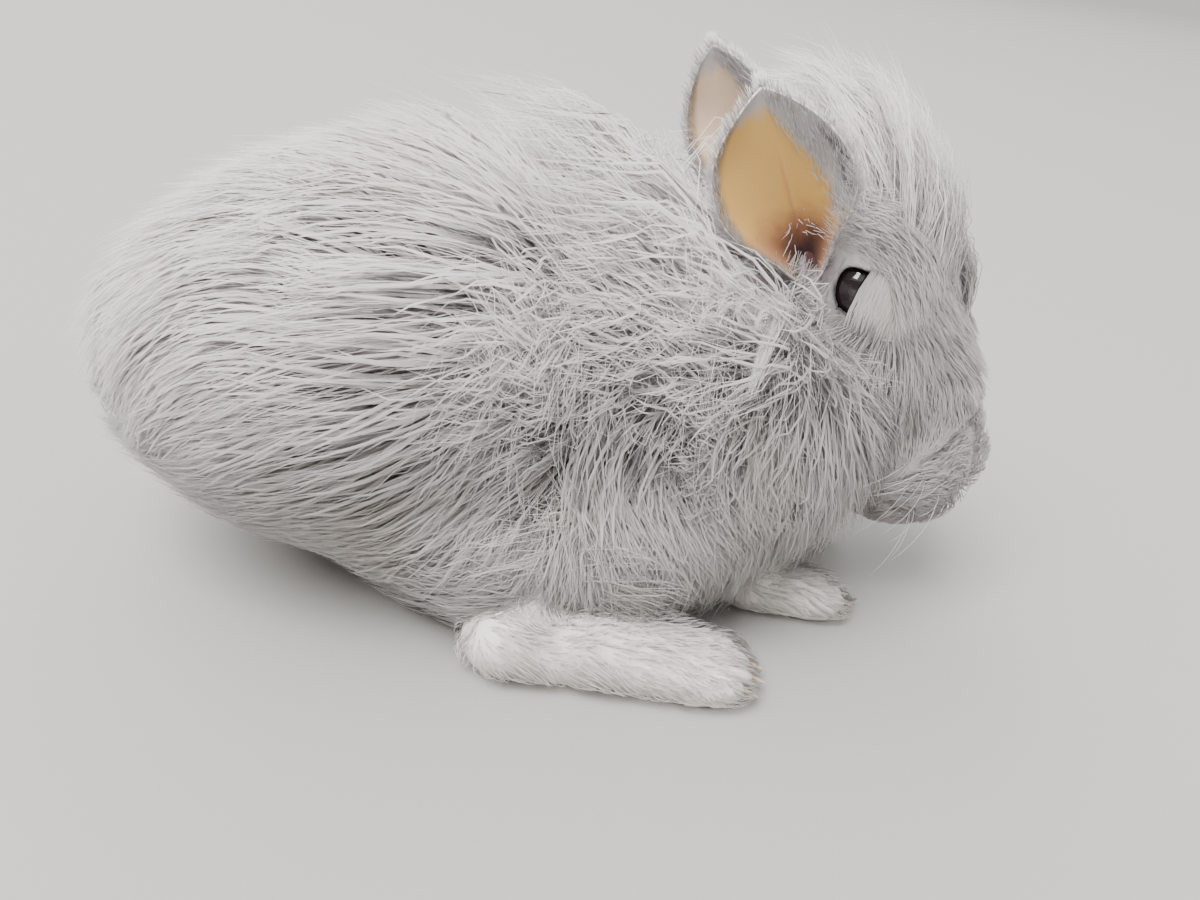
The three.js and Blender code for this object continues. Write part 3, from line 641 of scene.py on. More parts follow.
# Two tones, mixed in flecks, or from the root to the tip where no fleck is given.
def twoToneMaterial(name, look):
    material, tree = newMaterial(name)
    if "fleck" in look:
        place = addNode(tree, "ShaderNodeTexCoord").outputs["Object"]
        spots = {"Scale": 1000 / look["fleck"], "Detail": look["detail"], "Vector": place}
        factor = addNode(tree, "ShaderNodeTexNoise", {}, spots).outputs["Fac"]
    else:
        factor = addNode(tree, "ShaderNodeAttribute", {"attribute_name": "hairShare"}).outputs["Fac"]
    pair = {"Factor": factor, "A": look["dark"], "B": look["pale"]}
    colour = addNode(tree, "ShaderNodeMix", {"data_type": "RGBA"}, pair).outputs["Result"]
    setSurface(tree, {"Base Color": colour, **look["surface"]})
    return material


woolCoat = woolMaterial("angoraWoolCombed", longWool)
underCoat = woolMaterial("angoraUnderwool", underWool)
faceCoat = woolMaterial("rabbitFurShort", shortFaceFur)
muzzleCoat = woolMaterial("rabbitFurMuzzle", muzzleFur)
footCoat = woolMaterial("rabbitFurFoot", footFur)
earCoat = woolMaterial("rabbitFurEarRim", earFringe)
hides = [
    hideMaterial("rabbitHideBody", bodyHide),
    hideMaterial("rabbitHideFace", faceHide),
    hideMaterial("rabbitHideFoot", footHide),
    hideMaterial("rabbitNoseLeather", noseLeather),
    hideMaterial("rabbitEarBack", earBack),
    # The far left cup is mixed paler than the near one: painted light on the same skin.
    earCupMaterial("rabbitEarCupRight", earCup, 0.0),
    earCupMaterial("rabbitEarCupLeft", earCup, 0.8),
]
bodyPart, facePart, footPart, nosePart, earBackPart, cupPart, farCupPart = range(7)
print("materials:", len(bpy.data.materials))


# A cupped leaf of skin, closed round its rim. x runs across from edge to edge, t from the base to the tip.
def earSheet(side):
    spec = ear[side]
    base, tip = fromHead(spec["base"]), fromHead(spec["tip"])
    up = unit(tip - base)
    opening = np.array(spec["opening"], float)
    opening = unit(opening - up * (opening @ up))
    across = np.cross(up, opening)
    front = 1 if across[0] > 0 else -1
    rings, columns = ear["rings"], ear["columns"]
    t, x = np.meshgrid(np.linspace(0, 1, rings), np.linspace(-0.5, 0.5, columns), indexing="ij")
    leaf = np.sin(math.pi * (0.1 + 0.9 * t) ** 1.15) ** 0.75
    half = np.maximum(ear["halfWidth"] * np.where(t > 0.999, 0, leaf), 0.6)
    wrap = mix(ear["wrapBase"], ear["wrapTip"], smooth(t, 0, 0.75))
    radius = half / wrap
    angle = 2 * x * wrap
    thin = 1 - 0.62 * np.abs(2 * x) ** 3
    ripple = ear["ripple"] * np.sin(t * 17 + 5 * x) * np.abs(2 * x) ** 2
    ridge = ear["ridge"] * np.exp(-((x / 0.018) ** 2)) * smooth(0.85 - t, 0, 0.3)  # the vein up the middle
    layers = []
    for z in (-0.5, 0.5):
        out = z * ear["thickness"] * thin + ripple + (ridge if z > 0 else 0)
        place = base + up * (t * ear["length"] - ear["sunk"])[..., None]
        place = place + across * (np.sin(angle) * (radius - out))[..., None]
        place = place + opening * (radius - np.cos(angle) * (radius - out))[..., None]
        layers.append(place.reshape(-1, 3))
    count = rings * columns
    number = np.arange(count).reshape(rings, columns)
    under = np.stack([number[:-1, :-1], number[1:, :-1], number[1:, 1:], number[:-1, 1:]], -1).reshape(-1, 4)
    over = under[:, ::-1] + count
    rim = np.concatenate([number[0], number[1:, -1], number[-1, -2::-1], number[-2:0:-1, 0]])
    ahead = np.roll(rim, -1)
    edge = np.stack([rim, ahead, ahead + count, rim + count], -1)
    sheetFaces = np.concatenate([under, over, edge])
    sheetPoints = np.concatenate(layers)
    quads = sheetPoints[sheetFaces]
    inner = np.arange(len(sheetFaces)) // len(under) == 1  # the side that faces the opening
    normals = np.cross(quads[:, 2] - quads[:, 0], quads[:, 3] - quads[:, 1])
    if (normals[inner] @ opening).sum() < 0:
        sheetFaces = sheetFaces[:, ::-1]
    look = np.where(inner, cupPart if side == "right" else farCupPart, earBackPart)
    return {
        "points": sheetPoints,
        "faces": sheetFaces,
        "look": look,
        "along": np.tile(t.ravel(), 2),
        "across": np.tile(2 * front * x.ravel(), 2),
        "up": up,
        "opening": opening,
        "aside": across * front,
        "rim": rim,
    }


ears = {side: earSheet(side) for side in ("right", "left")}


def partOfSkin(p):
    trunkOff = trunkField(p)[0]
    headOff = headField(toHead(p))[0]
    legOff = np.min([legDistance(p, leg, side) for leg, side in legs], 0)
    onHead = (headOff < trunkOff) & (headOff < legOff + 3)
    return onHead, (legOff < trunkOff) & ~onHead


def besideEyes(p):
    return [p - onSide(eye["at"], side) for side in (1, -1)]


points, faces = drawSkin()
quad = points[faces]
centres = quad.mean(1)
crossed = np.cross(quad[:, 2] - quad[:, 0], quad[:, 3] - quad[:, 1])
areas = np.linalg.norm(crossed, axis=1) / 2
faceNormals = unit(crossed)
onHead, onLeg = partOfSkin(centres)
onTrunk = ~onHead & ~onLeg
inHead = toHead(centres)
lineOfMouth = mouthLine(25)
mouthAway = np.min(np.linalg.norm(inHead[:, None] - lineOfMouth[None], axis=2), 1)
noseAway = np.linalg.norm((inHead - np.array(nosePad["at"])) * np.array(nosePad["squash"]), axis=1)
bare = onHead & ((noseAway < nosePad["radius"]) | (mouthAway < mouth["radius"] + 0.5))
look = np.select([bare, onHead, onLeg], [nosePart, facePart, footPart], bodyPart)

allPoints, allFaces, allLook = [points], [faces], [look]
along, across = [np.zeros(len(points))], [np.zeros(len(points))]
for side in ears:
    sheet = ears[side]
    allFaces.append(sheet["faces"] + sum(len(p) for p in allPoints))
    for whole, key in ((allPoints, "points"), (allLook, "look"), (along, "along"), (across, "across")):
        whole.append(sheet[key])
allPoints = np.concatenate(allPoints)
skinPiece = newMesh("skin", allPoints, np.concatenate(allFaces), hides, None, np.concatenate(allLook))
skinInHead = toHead(allPoints)
fromEye = np.min([np.linalg.norm(away, axis=1) for away in besideEyes(skinInHead)], 0)
fromPit = np.linalg.norm(folded(skinInHead) - np.array(earPit["at"]), axis=1)
pointAttribute(skinPiece.data, "earAlong", np.concatenate(along))
pointAttribute(skinPiece.data, "earAcross", np.concatenate(across))
# Painted shade on the skin in the hollow at the foot of each ear.
pointAttribute(skinPiece.data, "earPit", smooth(earPit["radius"] - fromPit, 0, 3))
pointAttribute(skinPiece.data, "eyeRim", smooth(eye["rim"] - fromEye, 0, 0.8))
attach(skinPiece, "root")
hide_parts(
    "torso", "neck", "head", "tail", "ear_left", "ear_right",
    "foreleg_left", "foreleg_right", "hindleg_left", "hindleg_right")
print("skin:", len(points), "points")


def ballMesh(name, centre, radius, material, rings=48, columns=64):
    polar = np.linspace(0, math.pi, rings + 1)[1:-1, None]
    turn = np.linspace(0, 2 * math.pi, columns, endpoint=False)[None]
    body = vectors(np.sin(polar) * np.cos(turn), np.sin(polar) * np.sin(turn), np.cos(polar)).reshape(-1, 3)
    ballPoints = np.concatenate([body, [(0, 0, 1), (0, 0, -1)]]) * radius + centre
    number = np.arange((rings - 1) * columns).reshape(rings - 1, columns)
    right = np.roll(number, -1, 1)
    loops = np.stack([number[:-1], number[1:], right[1:], right[:-1]], -1).reshape(-1)
    top, bottom = len(body), len(body) + 1
    caps = [(top, number[0, i], right[0, i]) for i in range(columns)]
    caps += [(bottom, right[-1, i], number[-1, i]) for i in range(columns)]
    sizes = [4] * (len(loops) // 4) + [3] * len(caps)
    loops = np.concatenate([loops, np.array(caps).ravel()])
    piece = newMesh(name, ballPoints, loops, [material], np.array(sizes))
    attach(piece, "root")
    return piece


for side, sign in sides.items():
    eyeSkin = twoToneMaterial("corneaDark_" + side, cornea)
    eyeball = ballMesh("eyeball_" + side, fromHead(onSide(eye["at"], sign)), eye["radius"], eyeSkin)
    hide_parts("eye_" + side)

# What one kind of hair is, in mm: rings to a hair, its width, how steeply it climbs from the skin, how it
# gathers into strands and clumps with valleys between, how it strays, and how far it is lit as the coat is.
plainHair = {"rings": 3, "cross": 0.4, "soft": 0.7, "taper": 0.6, "flat": 0.6}
deepWool = dict(plainHair, rings=4, soft=0.85, taper=0.75, flat=0.5, gather=5, pull=0.0, stray=0.0)
topWool = dict(plainHair, gather=6, flat=0.8)
coat = {
    "under": dict(
        deepWool, count=5000, width=(0.9, 1.7), length=(24, 34),
        climb=1.25, bunch=0.15, valley=0.12, frizz=0.5, wander=16),
    "underCurled": dict(
        deepWool, count=6500, width=(0.7, 1.2), length=(17, 25),
        climb=1.2, bunch=0.25, valley=0.22, frizz=0.8, wander=32, cross=0.6),
    "silk": dict(
        topWool, count=17300, width=(0.2, 0.36), length=(26, 42), climb=1.05, pull=0.16,
        bunch=0.22, valley=0.14, frizz=0.8, stray=0.07, wander=15, soft=0.75, taper=0.55),
    "wool": dict(
        topWool, count=21500, width=(0.15, 0.27), length=(17, 30), climb=1.05, pull=0.16,
        bunch=0.3, valley=0.26, frizz=1.25, stray=0.05, wander=55, cross=0.65, soft=0.75, taper=0.5),
    "cheek": dict(
        topWool, count=6600, width=(0.16, 0.27), length=(15, 25), climb=1.3,
        pull=0.2, bunch=0.3, valley=0.3, frizz=1.0, stray=0.05, wander=35, cross=0.5),
    "forehead": dict(
        topWool, count=3600, width=(0.18, 0.3), length=(15, 24), climb=1.1,
        gather=7, pull=0.3, bunch=0.3, valley=0.15, frizz=0.6, stray=0.06, wander=20),
    "face": dict(
        plainHair, count=5400, width=(0.2, 0.32), length=(8, 13), climb=1.3,
        gather=9, pull=0.2, bunch=0.2, valley=0.2, frizz=0.3, stray=0.02, wander=14),
    "temple": dict(
        plainHair, count=2800, width=(0.2, 0.32), length=(6, 10), climb=1.1,
        gather=9, pull=0.1, bunch=0.1, valley=0.2, frizz=0.4, stray=0.04, wander=40),
    "muzzle": dict(
        plainHair, count=4400, width=(0.2, 0.32), length=(6.0, 10.0), climb=1.1,
        gather=8, pull=0.25, bunch=0.3, valley=0.25, frizz=0.4, stray=0.06, wander=32, soft=0.75),
    "feet": dict(
        plainHair, count=4200, width=(0.22, 0.36), length=(5, 9), climb=1.4,
        gather=8, pull=0.3, bunch=0.2, valley=0.2, frizz=0.25, stray=0.02, wander=14),
    "forelock": dict(plainHair, rings=4, width=(0.18, 0.32), soft=0.6, flat=0.8),
    "ear": dict(plainHair, width=(0.12, 0.22)),
    "brow": dict(plainHair, rings=4),
    "curl": dict(plainHair, rings=8, width=(0.1, 0.18), taper=0.4, flat=0.7),
    "whisker": dict(plainHair, rings=6, soft=0.2, taper=0.8, flat=1.0),
}

headCoatSoftness = 4.0
headCoat = [
    ((-12, 0, 0), (38, 36, 34)),  # crown and back of the head
    ((10, 0, -18), (38, 36, 36)),  # cheeks
    ((48, 0, -14), (30, 19, 22)),  # muzzle
    ((20, 0, -3), (26, 20, 20)),  # brow
    ((40, 0, -8), (27, 16, 17.5)),  # bridge of the nose
    ((54, 0, -19), (24, 20, 20)),  # lips and chin
]

# Partings in the matted wool of the shoulder, where the coat opens to shade below, partly real and partly
# painted: place and size.
partings = [
    ((16, -60, 79), 2.6),
    ((26, -59, 84), 2.9),
    ((24, -61, 72), 2.0),
    ((4, -54, 93), 2.4),
    ((17, -62, 50), 2.2),
    ((30, -61, 48), 1.9),
    ((-7, -65, 40), 2.2),
    ((16, -56, 90), 1.6),
    ((42, -59, 74), 2.1),
    ((62, -42, 70), 2.2),
]


# The trunk's hairs lie back, swing down over the flank and the chest, and round the rump.
def trunkLie(p):
    low = smooth(84 - p[:, 2], 0, 50)  # 0 on the back, 1 on the lower flank
    front = smooth(p[:, 0], -60, 20)  # 0 at the rump, 1 at the shoulder
    down = low * (0.5 + 1.3 * front)
    lie = vectors(-1 + 0.75 * front * low, 0.35 * np.sign(p[:, 1]) * low, 0.1 - down)
    ahead = smooth(p[:, 0], 44, 62)  # 1 on the chest
    chestLow = smooth(100 - p[:, 2], 0, 45)
    chest = vectors(-1 + 0.8 * chestLow, 0.3 * np.sign(p[:, 1]) * chestLow, 0.15 - 1.1 * chestLow)
    lie = mix(lie, chest, ahead[:, None])
    rear = smooth(-p[:, 0], 55, 95)
    rearLie = vectors(-0.8, 0.55 * np.clip(p[:, 1] / 30, -1, 1), -0.5 + 0.5 * smooth(p[:, 2], 60, 95))
    return unit(mix(lie, rearLie, rear[:, None] * 0.85))


# On the head they lie forward over the brow, back over the muzzle and the crown, and down the cheeks.
def headLie(p):
    h = toHead(p)
    side = np.clip(h[:, 1] / 4, -1, 1)
    onCheek = smooth(30 - h[:, 0], 0, 14) * smooth(4 - h[:, 2], 0, 8)  # behind and below the eye
    forward = vectors(0.75, 0.12 * side, -0.55)
    top = smooth(h[:, 2], 2, 14)  # 1 on the forehead
    forward = mix(forward, vectors(1, 0.25 * side, 0.1), top[:, None])
    ridge = smooth(h[:, 2] + 0.4 * (h[:, 0] - 50), -5, 2)  # 1 on the bridge of the nose
    muzzle = mix(vectors(-0.7, 0.25 * side, -0.5), vectors(-0.8, 0.3 * side, 0.25), ridge[:, None])
    lie = mix(forward, muzzle, smooth(h[:, 0], 46, 56)[:, None])
    lie = mix(lie, vectors(-0.9, 0.15 * side, 0.2), smooth(-4 - h[:, 0], 0, 10)[:, None])
    return unit(mix(lie, vectors(-0.35, 0.1 * side, -0.9), onCheek[:, None]) @ headTurn.T)


def templeLie(p):
    side = np.clip(toHead(p)[:, 1] / 4, -1, 1)
    low = smooth(1 - toHead(p)[:, 2], 0, 6)  # 1 below the line of the eye
    return unit(vectors(0.7 - 0.9 * low, 0.25 * side, 0.35 - 1.2 * low) @ headTurn.T)


def between(p, share, flesh, outer, softness):
    a, away = massField(p, flesh, softness)
    b, out = massField(p, outer, softness)
    return (1 - share) * a + share * b, unit(mix(away, out, share[:, None]))


def trunkLayer(p, share):
    return between(p, share, trunk["flesh"], trunk["coat"], trunk["softness"])


def headLayer(p, share):
    distance, away = between(toHead(p), share, head["flesh"], headCoat, headCoatSoftness)
    return distance, away @ headTurn.T


def legLayer(p, share):
    best = np.array([legDistance(p, leg, side) for leg, side in legs])
    which = best.argmin(0)
    centre = np.zeros_like(p)
    for i, (leg, side) in enumerate(legs):
        heelEnd = leg["flesh"][0][0][0]
        long = np.clip(toFoot(p, leg, side)[:, 0], heelEnd, leg["toes"]["at"])
        axis = fromFoot(vectors(long, 0, 5), leg, side)
        centre = np.where((which == i)[:, None], axis, centre)
    return best.min(0) - share * 3.2, unit(p - centre)


# The feet's hairs lie forward, and hang down on the shanks and the heels.
def legLie(p):
    upright = smooth(p[:, 2], 14, 24)  # 0 on the foot, 1 on the shank
    lie = vectors(1 - upright, 0, -0.25 - upright)
    for leg, side in legs:
        local = toFoot(p, leg, side)
        near = (np.abs(local[:, 1]) < 16) * smooth(local[:, 0], -12, -6) * smooth(8 - local[:, 0], 0, 7)
        lie = mix(lie, np.array([-0.15, 0, -1]), near[:, None])
    return unit(lie)


def turnAbout(v, axis, angle):
    c, s = np.cos(angle)[:, None], np.sin(angle)[:, None]
    return v * c + np.cross(axis, v) * s + axis * (axis * v).sum(-1, keepdims=True) * (1 - c)


def clearOfHead(p):
    local = toHead(p)
    off, out = headField(local)
    return fromHead(local + out * np.clip(1.5 - off, 0, 14)[:, None])


def clearOfEyes(p):
    local = toHead(p)
    for side in (1, -1):
        away = local - onSide(eye["at"], side)
        far = np.linalg.norm(away, axis=-1, keepdims=True)
        local = local + away / np.maximum(far, 0.1) * np.clip(eye["radius"] + 2.0 - far, 0, 6)
    return fromHead(local)


# Hairs bend round a parting, and where they cross below it their colour is darkened by painted shade.
def openPartings(p):
    shade = np.zeros(p.shape[:-1])
    for at, size in partings:
        for sign in (1, -1):
            axis = unit(np.array([0.05, at[1] * sign, (at[2] - 60) * 0.6]))
            away = p - onSide(at, sign)
            high = away @ axis
            flat = away - high[..., None] * axis
            far = np.linalg.norm(flat, axis=-1)
            rim, reach = size * 0.75, size * 1.7  # the hole, and how far the hairs round it are pushed
            moved = rim + far / reach * (reach - rim)
            part = smooth(high, -15, -9) * (far < reach)
            p = p + flat * ((moved / np.maximum(far, 0.05) - 1) * part)[..., None]
            shade = np.maximum(shade, smooth(size * 1.3 - far, 0, size) * smooth(-high, 5, 12))
    return p, shade


# These would cross the open cup.
def inEarCup(path):
    bad = np.zeros(len(path), bool)
    for side in ears:
        sheet = ears[side]
        halfway = (path[:, :-1] + path[:, 1:]) / 2
        away = np.concatenate([path[:, 1:], halfway], 1) - fromHead(ear[side]["base"])
        t = (away @ sheet["up"] + ear["sunk"]) / ear["length"]
        leaf = np.sin(math.pi * np.clip(0.1 + 0.9 * np.clip(t, 0, 1), 0, 1)) ** 0.75
        half = ear["halfWidth"] * leaf * 0.8
        ahead = away @ sheet["opening"]
        within = (np.abs(away @ sheet["aside"]) < half + 1) & (ahead > -1.5) & (ahead < 22)
        inside = (t > 0.08) & (t < 1.08) & within
        bad |= inside.any(1)
    return bad


# Hairs keep off the eye and off the dark pit at the foot of the ear.
def overEye(path):
    h = toHead(path[:, 1:])
    over = np.zeros(h.shape[:2], bool)
    for part in [h] + [mix(h[:, :-1], h[:, 1:], share) for share in (0.2, 0.4, 0.6, 0.8)]:
        flat = np.hypot(part[..., 0] - eye["at"][0], part[..., 2] - eye["at"][2])
        fromPit = np.linalg.norm(folded(part) - earPit["at"], axis=-1)
        overEach = (flat < eye["radius"] * 0.98) & (np.abs(part[..., 1]) > 12)
        over[:, :part.shape[1]] |= overEach | (fromPit < earPit["clear"])
    return over.any(1)


# Each hair follows the lie of the coat, climbing from the skin to its share of the coat's depth.
def growHairs(roots, spec, lie, layer, length, tipShare, climb, turn, clearOf=None):
    rings = spec["rings"]
    path = [roots]
    p = roots.copy()
    heading = None
    inner, outer = layer(p, np.zeros(len(p)))[0], layer(p, np.ones(len(p)))[0]
    start = np.clip(inner / np.maximum(inner - outer, 1), 0, 1.1)
    tipShare = np.maximum(tipShare, start + 0.22)
    marks = (np.arange(rings + 1) / rings) ** 0.7  # closer together towards the tip
    for k in range(1, rings + 1):
        share = start + (tipShare - start) * (1 - (1 - marks[k]) ** climb)
        for _ in range(2):  # two half steps to each ring, then back onto its layer
            _, out = layer(p, share)
            along = lie(p)
            along = unit(along - out * (along * out).sum(-1, keepdims=True))
            along = turnAbout(along, out, turn)
            if heading is not None:
                along = unit(along + 0.6 * heading)
            heading = along
            p = p + along * (length * (marks[k] - marks[k - 1]) / 2)[:, None]
        for _ in range(2):
            off, out = layer(p, share)
            p = p - out * np.clip(off, -9, 9)[:, None]
        if clearOf is not None:
            p = clearOf(p)
        p[:, 2] = np.maximum(p[:, 2], 1.0 + 3.0 * share)
        path.append(p.copy())
    path = np.stack(path, 1)
    total = np.linalg.norm(np.diff(path, axis=1), axis=2).sum(1)
    keep = np.minimum(1, 1.25 * length / total)  # no hair grows longer than it should
    return path[:, :1] + (path - path[:, :1]) * keep[:, None, None]


def nearest(where, targets, howMany=1):
    tree = kdtree.KDTree(len(targets))
    for i, point in enumerate(targets):
        tree.insert(point, i)
    tree.balance()
    found = [tree.find_n(point, howMany) for point in where]
    return np.array([[f[1] for f in one] for one in found]), np.array([[f[2] for f in one] for one in found])


# Hairs gather twice, into thin strands and into broad clumps that part from each other.
def gather(path, spec, clump, clumpHair, own):
    count, rings = path.shape[0], path.shape[1] - 1
    t = np.linspace(0, 1, rings + 1)[None, :, None]
    guides = own.choice(count, max(count // spec["gather"], 1), replace=False)
    strand = nearest(path[:, 0] + own.normal(0, 0.5, (count, 3)), path[guides, 0])[0][:, 0]
    pull = (spec["pull"] * (0.6 + 0.6 * own.random((len(guides), 1, 1))))[strand]
    path = path + (path[guides][strand] - path) * pull * smooth(t, 0.05, 1.0)
    bunch = spec["bunch"] * (0.5 + np.random.default_rng(3).random((clump.max() + 1, 1, 1)))[clump]
    path = path + (path[clumpHair] - path) * bunch * smooth(t, 0.2, 1.1)
    frizz = own.normal(0, 1, path.shape) * 0.8
    frizz = frizz + own.normal(0, 1, (len(guides),) + path.shape[1:])[strand] * 0.3
    path = path + frizz * spec["frizz"] * t**0.6
    return path, strand


coatTriangles = {}


# Closed three-sided tubes, flattened and drawn out to a point. They are lit mostly as the coat they lie in,
# because light scatters between real hairs and softens each one's own shading.
def hairMesh(name, path, width, tint, unwrap, material, spec, out, slot="wool", shade=None):
    count, rings = path.shape[0], path.shape[1] - 1
    tangent = unit(np.gradient(path, axis=1))
    own = np.random.default_rng(count)
    facing = unit(out + own.normal(0, 0.35, (count, 1, 3)))
    side = unit(np.cross(tangent, facing))
    up = np.cross(side, tangent)
    t = np.linspace(0, 1, rings + 1)[:-1]
    thick = width[:, None] * (1 - spec["taper"] * t[None] ** 1.5) * np.where(t == 0, 0.6, 1.0)[None]
    corners = []
    for aside, high in ((-0.5, -0.3), (0.5, -0.3), (0.0, 0.7)):
        offset = side[:, :-1] * aside + up[:, :-1] * high * spec["flat"]
        corners.append(path[:, :-1] + offset * thick[..., None])
    lastUp = up[:, -1:]
    tube = np.stack(corners, 2).reshape(count, -1, 3)
    hairPoints = np.concatenate([tube, path[:, -1:]], 1)
    perHair = hairPoints.shape[1]
    loops, sizes, patch = [0, 1, 2], [3], [(0, 0), (0.5, 0), (1, 0)]
    for ring in range(rings - 1):
        for edge in range(3):
            a, b = ring * 3 + edge, ring * 3 + (edge + 1) % 3
            left, right, low, high = edge / 3, (edge + 1) / 3, ring / rings, (ring + 1) / rings
            loops += [a + 3, b + 3, b, a]
            sizes.append(4)
            patch += [(left, high), (right, high), (right, low), (left, low)]
    last = (rings - 1) * 3
    for edge in range(3):
        left, right, low = edge / 3, (edge + 1) / 3, (rings - 1) / rings
        loops += [last + (edge + 1) % 3, last + edge, perHair - 1]
        sizes.append(3)
        patch += [(right, low), (left, low), ((edge + 0.5) / 3, 1)]
    allLoops = (np.array(loops)[None] + np.arange(count)[:, None] * perHair).ravel()
    piece = newMesh(name, hairPoints.reshape(-1, 3), allLoops, [material], np.tile(sizes, count))
    coatTriangles[name] = count * (rings * 6 - 2)
    mesh = piece.data
    pointAttribute(mesh, "hairShare", np.tile(np.concatenate([np.repeat(t, 3), [1.0]]), count))
    acrossHair = np.concatenate([np.tile([0.0, 1.0, 0.5], rings), [0.5]])
    pointAttribute(mesh, "hairAcross", np.tile(acrossHair, count))
    pointAttribute(mesh, "hairTint", np.repeat(tint, perHair))
    if shade is not None:
        shadeEach = np.concatenate([np.repeat(shade[:, :-1], 3, axis=1), shade[:, -1:]], 1)
        pointAttribute(mesh, "hairShade", shadeEach)
    low, high = unwrap.min(0), unwrap.max(0)
    place = 0.004 + 0.992 * (unwrap - low) / np.maximum(high - low, 1e-6)
    uv = place[:, None] + (np.array(patch)[None] - 0.5) * 0.003  # a small patch at the root's own place
    mesh.uv_layers.new(name="OFBake").data.foreach_set("uv", uv.astype(np.float32).ravel())
    side, up = side[:, :-1], up[:, :-1]
    around = np.stack([unit(-side - 0.5 * up), unit(side - 0.5 * up), up], 2)
    around = np.concatenate([around.reshape(count, -1, 3), lastUp], 1)
    coatNormals = np.concatenate([np.repeat(out[:, :-1], 3, axis=1), out[:, -1:]], 1)
    lit = unit(mix(around, coatNormals, spec["soft"])).reshape(-1, 3)
    mesh.normals_split_custom_set_from_vertices(lit)
    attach(piece, "root")
    return piece


# Turn about the body's long axis and the way along it, or about the head's middle, or a plan of the feet.
def bodyUnwrap(p):
    high = p[:, 2] - 58
    return np.stack([np.arctan2(p[:, 1], high), np.arctan2(p[:, 0] + 10, np.hypot(p[:, 1], high))], -1)


def headUnwrap(p):
    x, y, z = (toHead(p) - np.array([16, 0, -10])).T
    return np.stack([np.arctan2(y, z), np.arctan2(x, np.hypot(y, z))], -1)


def footUnwrap(p):
    return np.stack([p[:, 0] + 0.3 * p[:, 2], p[:, 1] + 0.35 * p[:, 2]], -1)


# The order of a curve that fills space in cells of 2.5 mm, so that neighbours come one after another.
def mortonOrder(p):
    cells = ((p - p.min(0)) / 2.5).astype(np.int64)
    code = np.zeros(len(p), np.int64)
    for bit in range(8):
        for axis in range(3):
            code |= ((cells[:, axis] >> bit) & 1) << (3 * bit + axis)
    return code


faceOrder = np.argsort(mortonOrder(centres))


# Even scatter over the skin, with one root to each equal share of the area.
def scatter(count, weight, own):
    total = np.cumsum((areas * weight)[faceOrder])
    marks = (np.arange(count) + own.random(count)) / count * total[-1]
    chosen = faceOrder[np.minimum(np.searchsorted(total, marks), len(faceOrder) - 1)]
    corner = points[faces[chosen]]
    u, v = own.random((count, 1)), own.random((count, 1))
    return mix(mix(corner[:, 0], corner[:, 1], u), mix(corner[:, 3], corner[:, 2], u), v), faceNormals[chosen]


# The lumps that the coat parts into, shared by all its layers.
lumpSize = 11
lumpPlaces = scatter(int(areas.sum() / lumpSize**2), np.ones(len(areas)), np.random.default_rng(2))[0]


# One kind of hair over the faces that weight marks. Where splits are given, it is cut along x into that many
# pieces and one more.
def groom(name, kind, weight, material, lie, layer, unwrap, seed, share=None, climb=None, clearOf=None,
          lengthBy=None, splits=(), slot="wool"):
    spec = coat[kind]
    own = np.random.default_rng(seed)
    roots, normals = scatter(spec["count"], weight, own)
    count = len(roots)
    lumps = len(lumpPlaces)
    found, far = nearest(roots, lumpPlaces, 2)
    clump = found[:, 0]
    middle = nearest(lumpPlaces, roots)[0][:, 0]
    chance = np.random.default_rng(4)
    edge = smooth(far[:, 0] / np.maximum(far[:, 1], 1e-6), 0.35, 1.0)
    length = mix(*spec["length"], own.random(count)) * (0.85 + 0.3 * chance.random(lumps))[clump]
    if lengthBy is not None:
        length = length * lengthBy(roots)
    valley = spec["valley"]
    tipShare = (share(roots) if share else np.ones(count)) * (1.06 - valley * edge)
    tipShare = tipShare * (1 - valley * 0.5 * chance.random(lumps))[clump]
    tipShare = tipShare * (1 + own.normal(0, 0.06, count))
    stray = own.random(count) < spec["stray"]
    tipShare = np.where(stray, tipShare + 0.1 + 0.14 * own.random(count), tipShare)
    turn = chance.normal(0, 0.7, lumps)[clump] + own.normal(0, spec["cross"], count)
    turn = np.radians(spec["wander"]) * turn
    rate = spec["climb"] * (climb(roots) if climb else np.ones(count))
    path = growHairs(roots - normals * 0.4, spec, lie, layer, length, tipShare, rate, turn, clearOf)
    path, strand = gather(path, spec, clump, middle[clump], own)
    if clearOf is not None:
        path[:, 1:] = clearOf(path[:, 1:].reshape(-1, 3)).reshape(path[:, 1:].shape)
    path[..., 2] = np.maximum(path[..., 2], 0.6)
    path, shade = openPartings(path)
    keep = ~overEye(path)
    if kind not in ("face", "temple"):
        keep &= ~inEarCup(path)
    path, shade, roots, strand, stray = path[keep], shade[keep], roots[keep], strand[keep], stray[keep]
    count = len(roots)
    out = layer(path.reshape(-1, 3), np.full(path.shape[0] * path.shape[1], 0.8))[1].reshape(path.shape)
    tint = np.clip(0.45 + own.normal(0, 0.16, strand.max() + 1)[strand] + own.normal(0, 0.1, count), 0, 1)
    width = mix(*spec["width"], own.random(count)) * np.where(stray, 0.7, 1)
    groups = np.zeros(count, int)
    if splits:
        groups = np.digitize(roots[:, 0], np.quantile(roots[:, 0], splits))
    for group in np.unique(groups):
        mine = groups == group
        hairs = (path[mine], width[mine], tint[mine], unwrap(roots[mine]))
        hairMesh(name + "_" + str(group + 1), *hairs, material, spec, out[mine], slot, shade[mine])
    print(name + ":", count, "hairs")


# Behind the ears and on the ruff the wool stands up at once, and is as deep there as on the back.
def maneClimb(p):
    return 1 + 2.2 * smooth(p[:, 0], 5, 28) * smooth(p[:, 2], 70, 96)


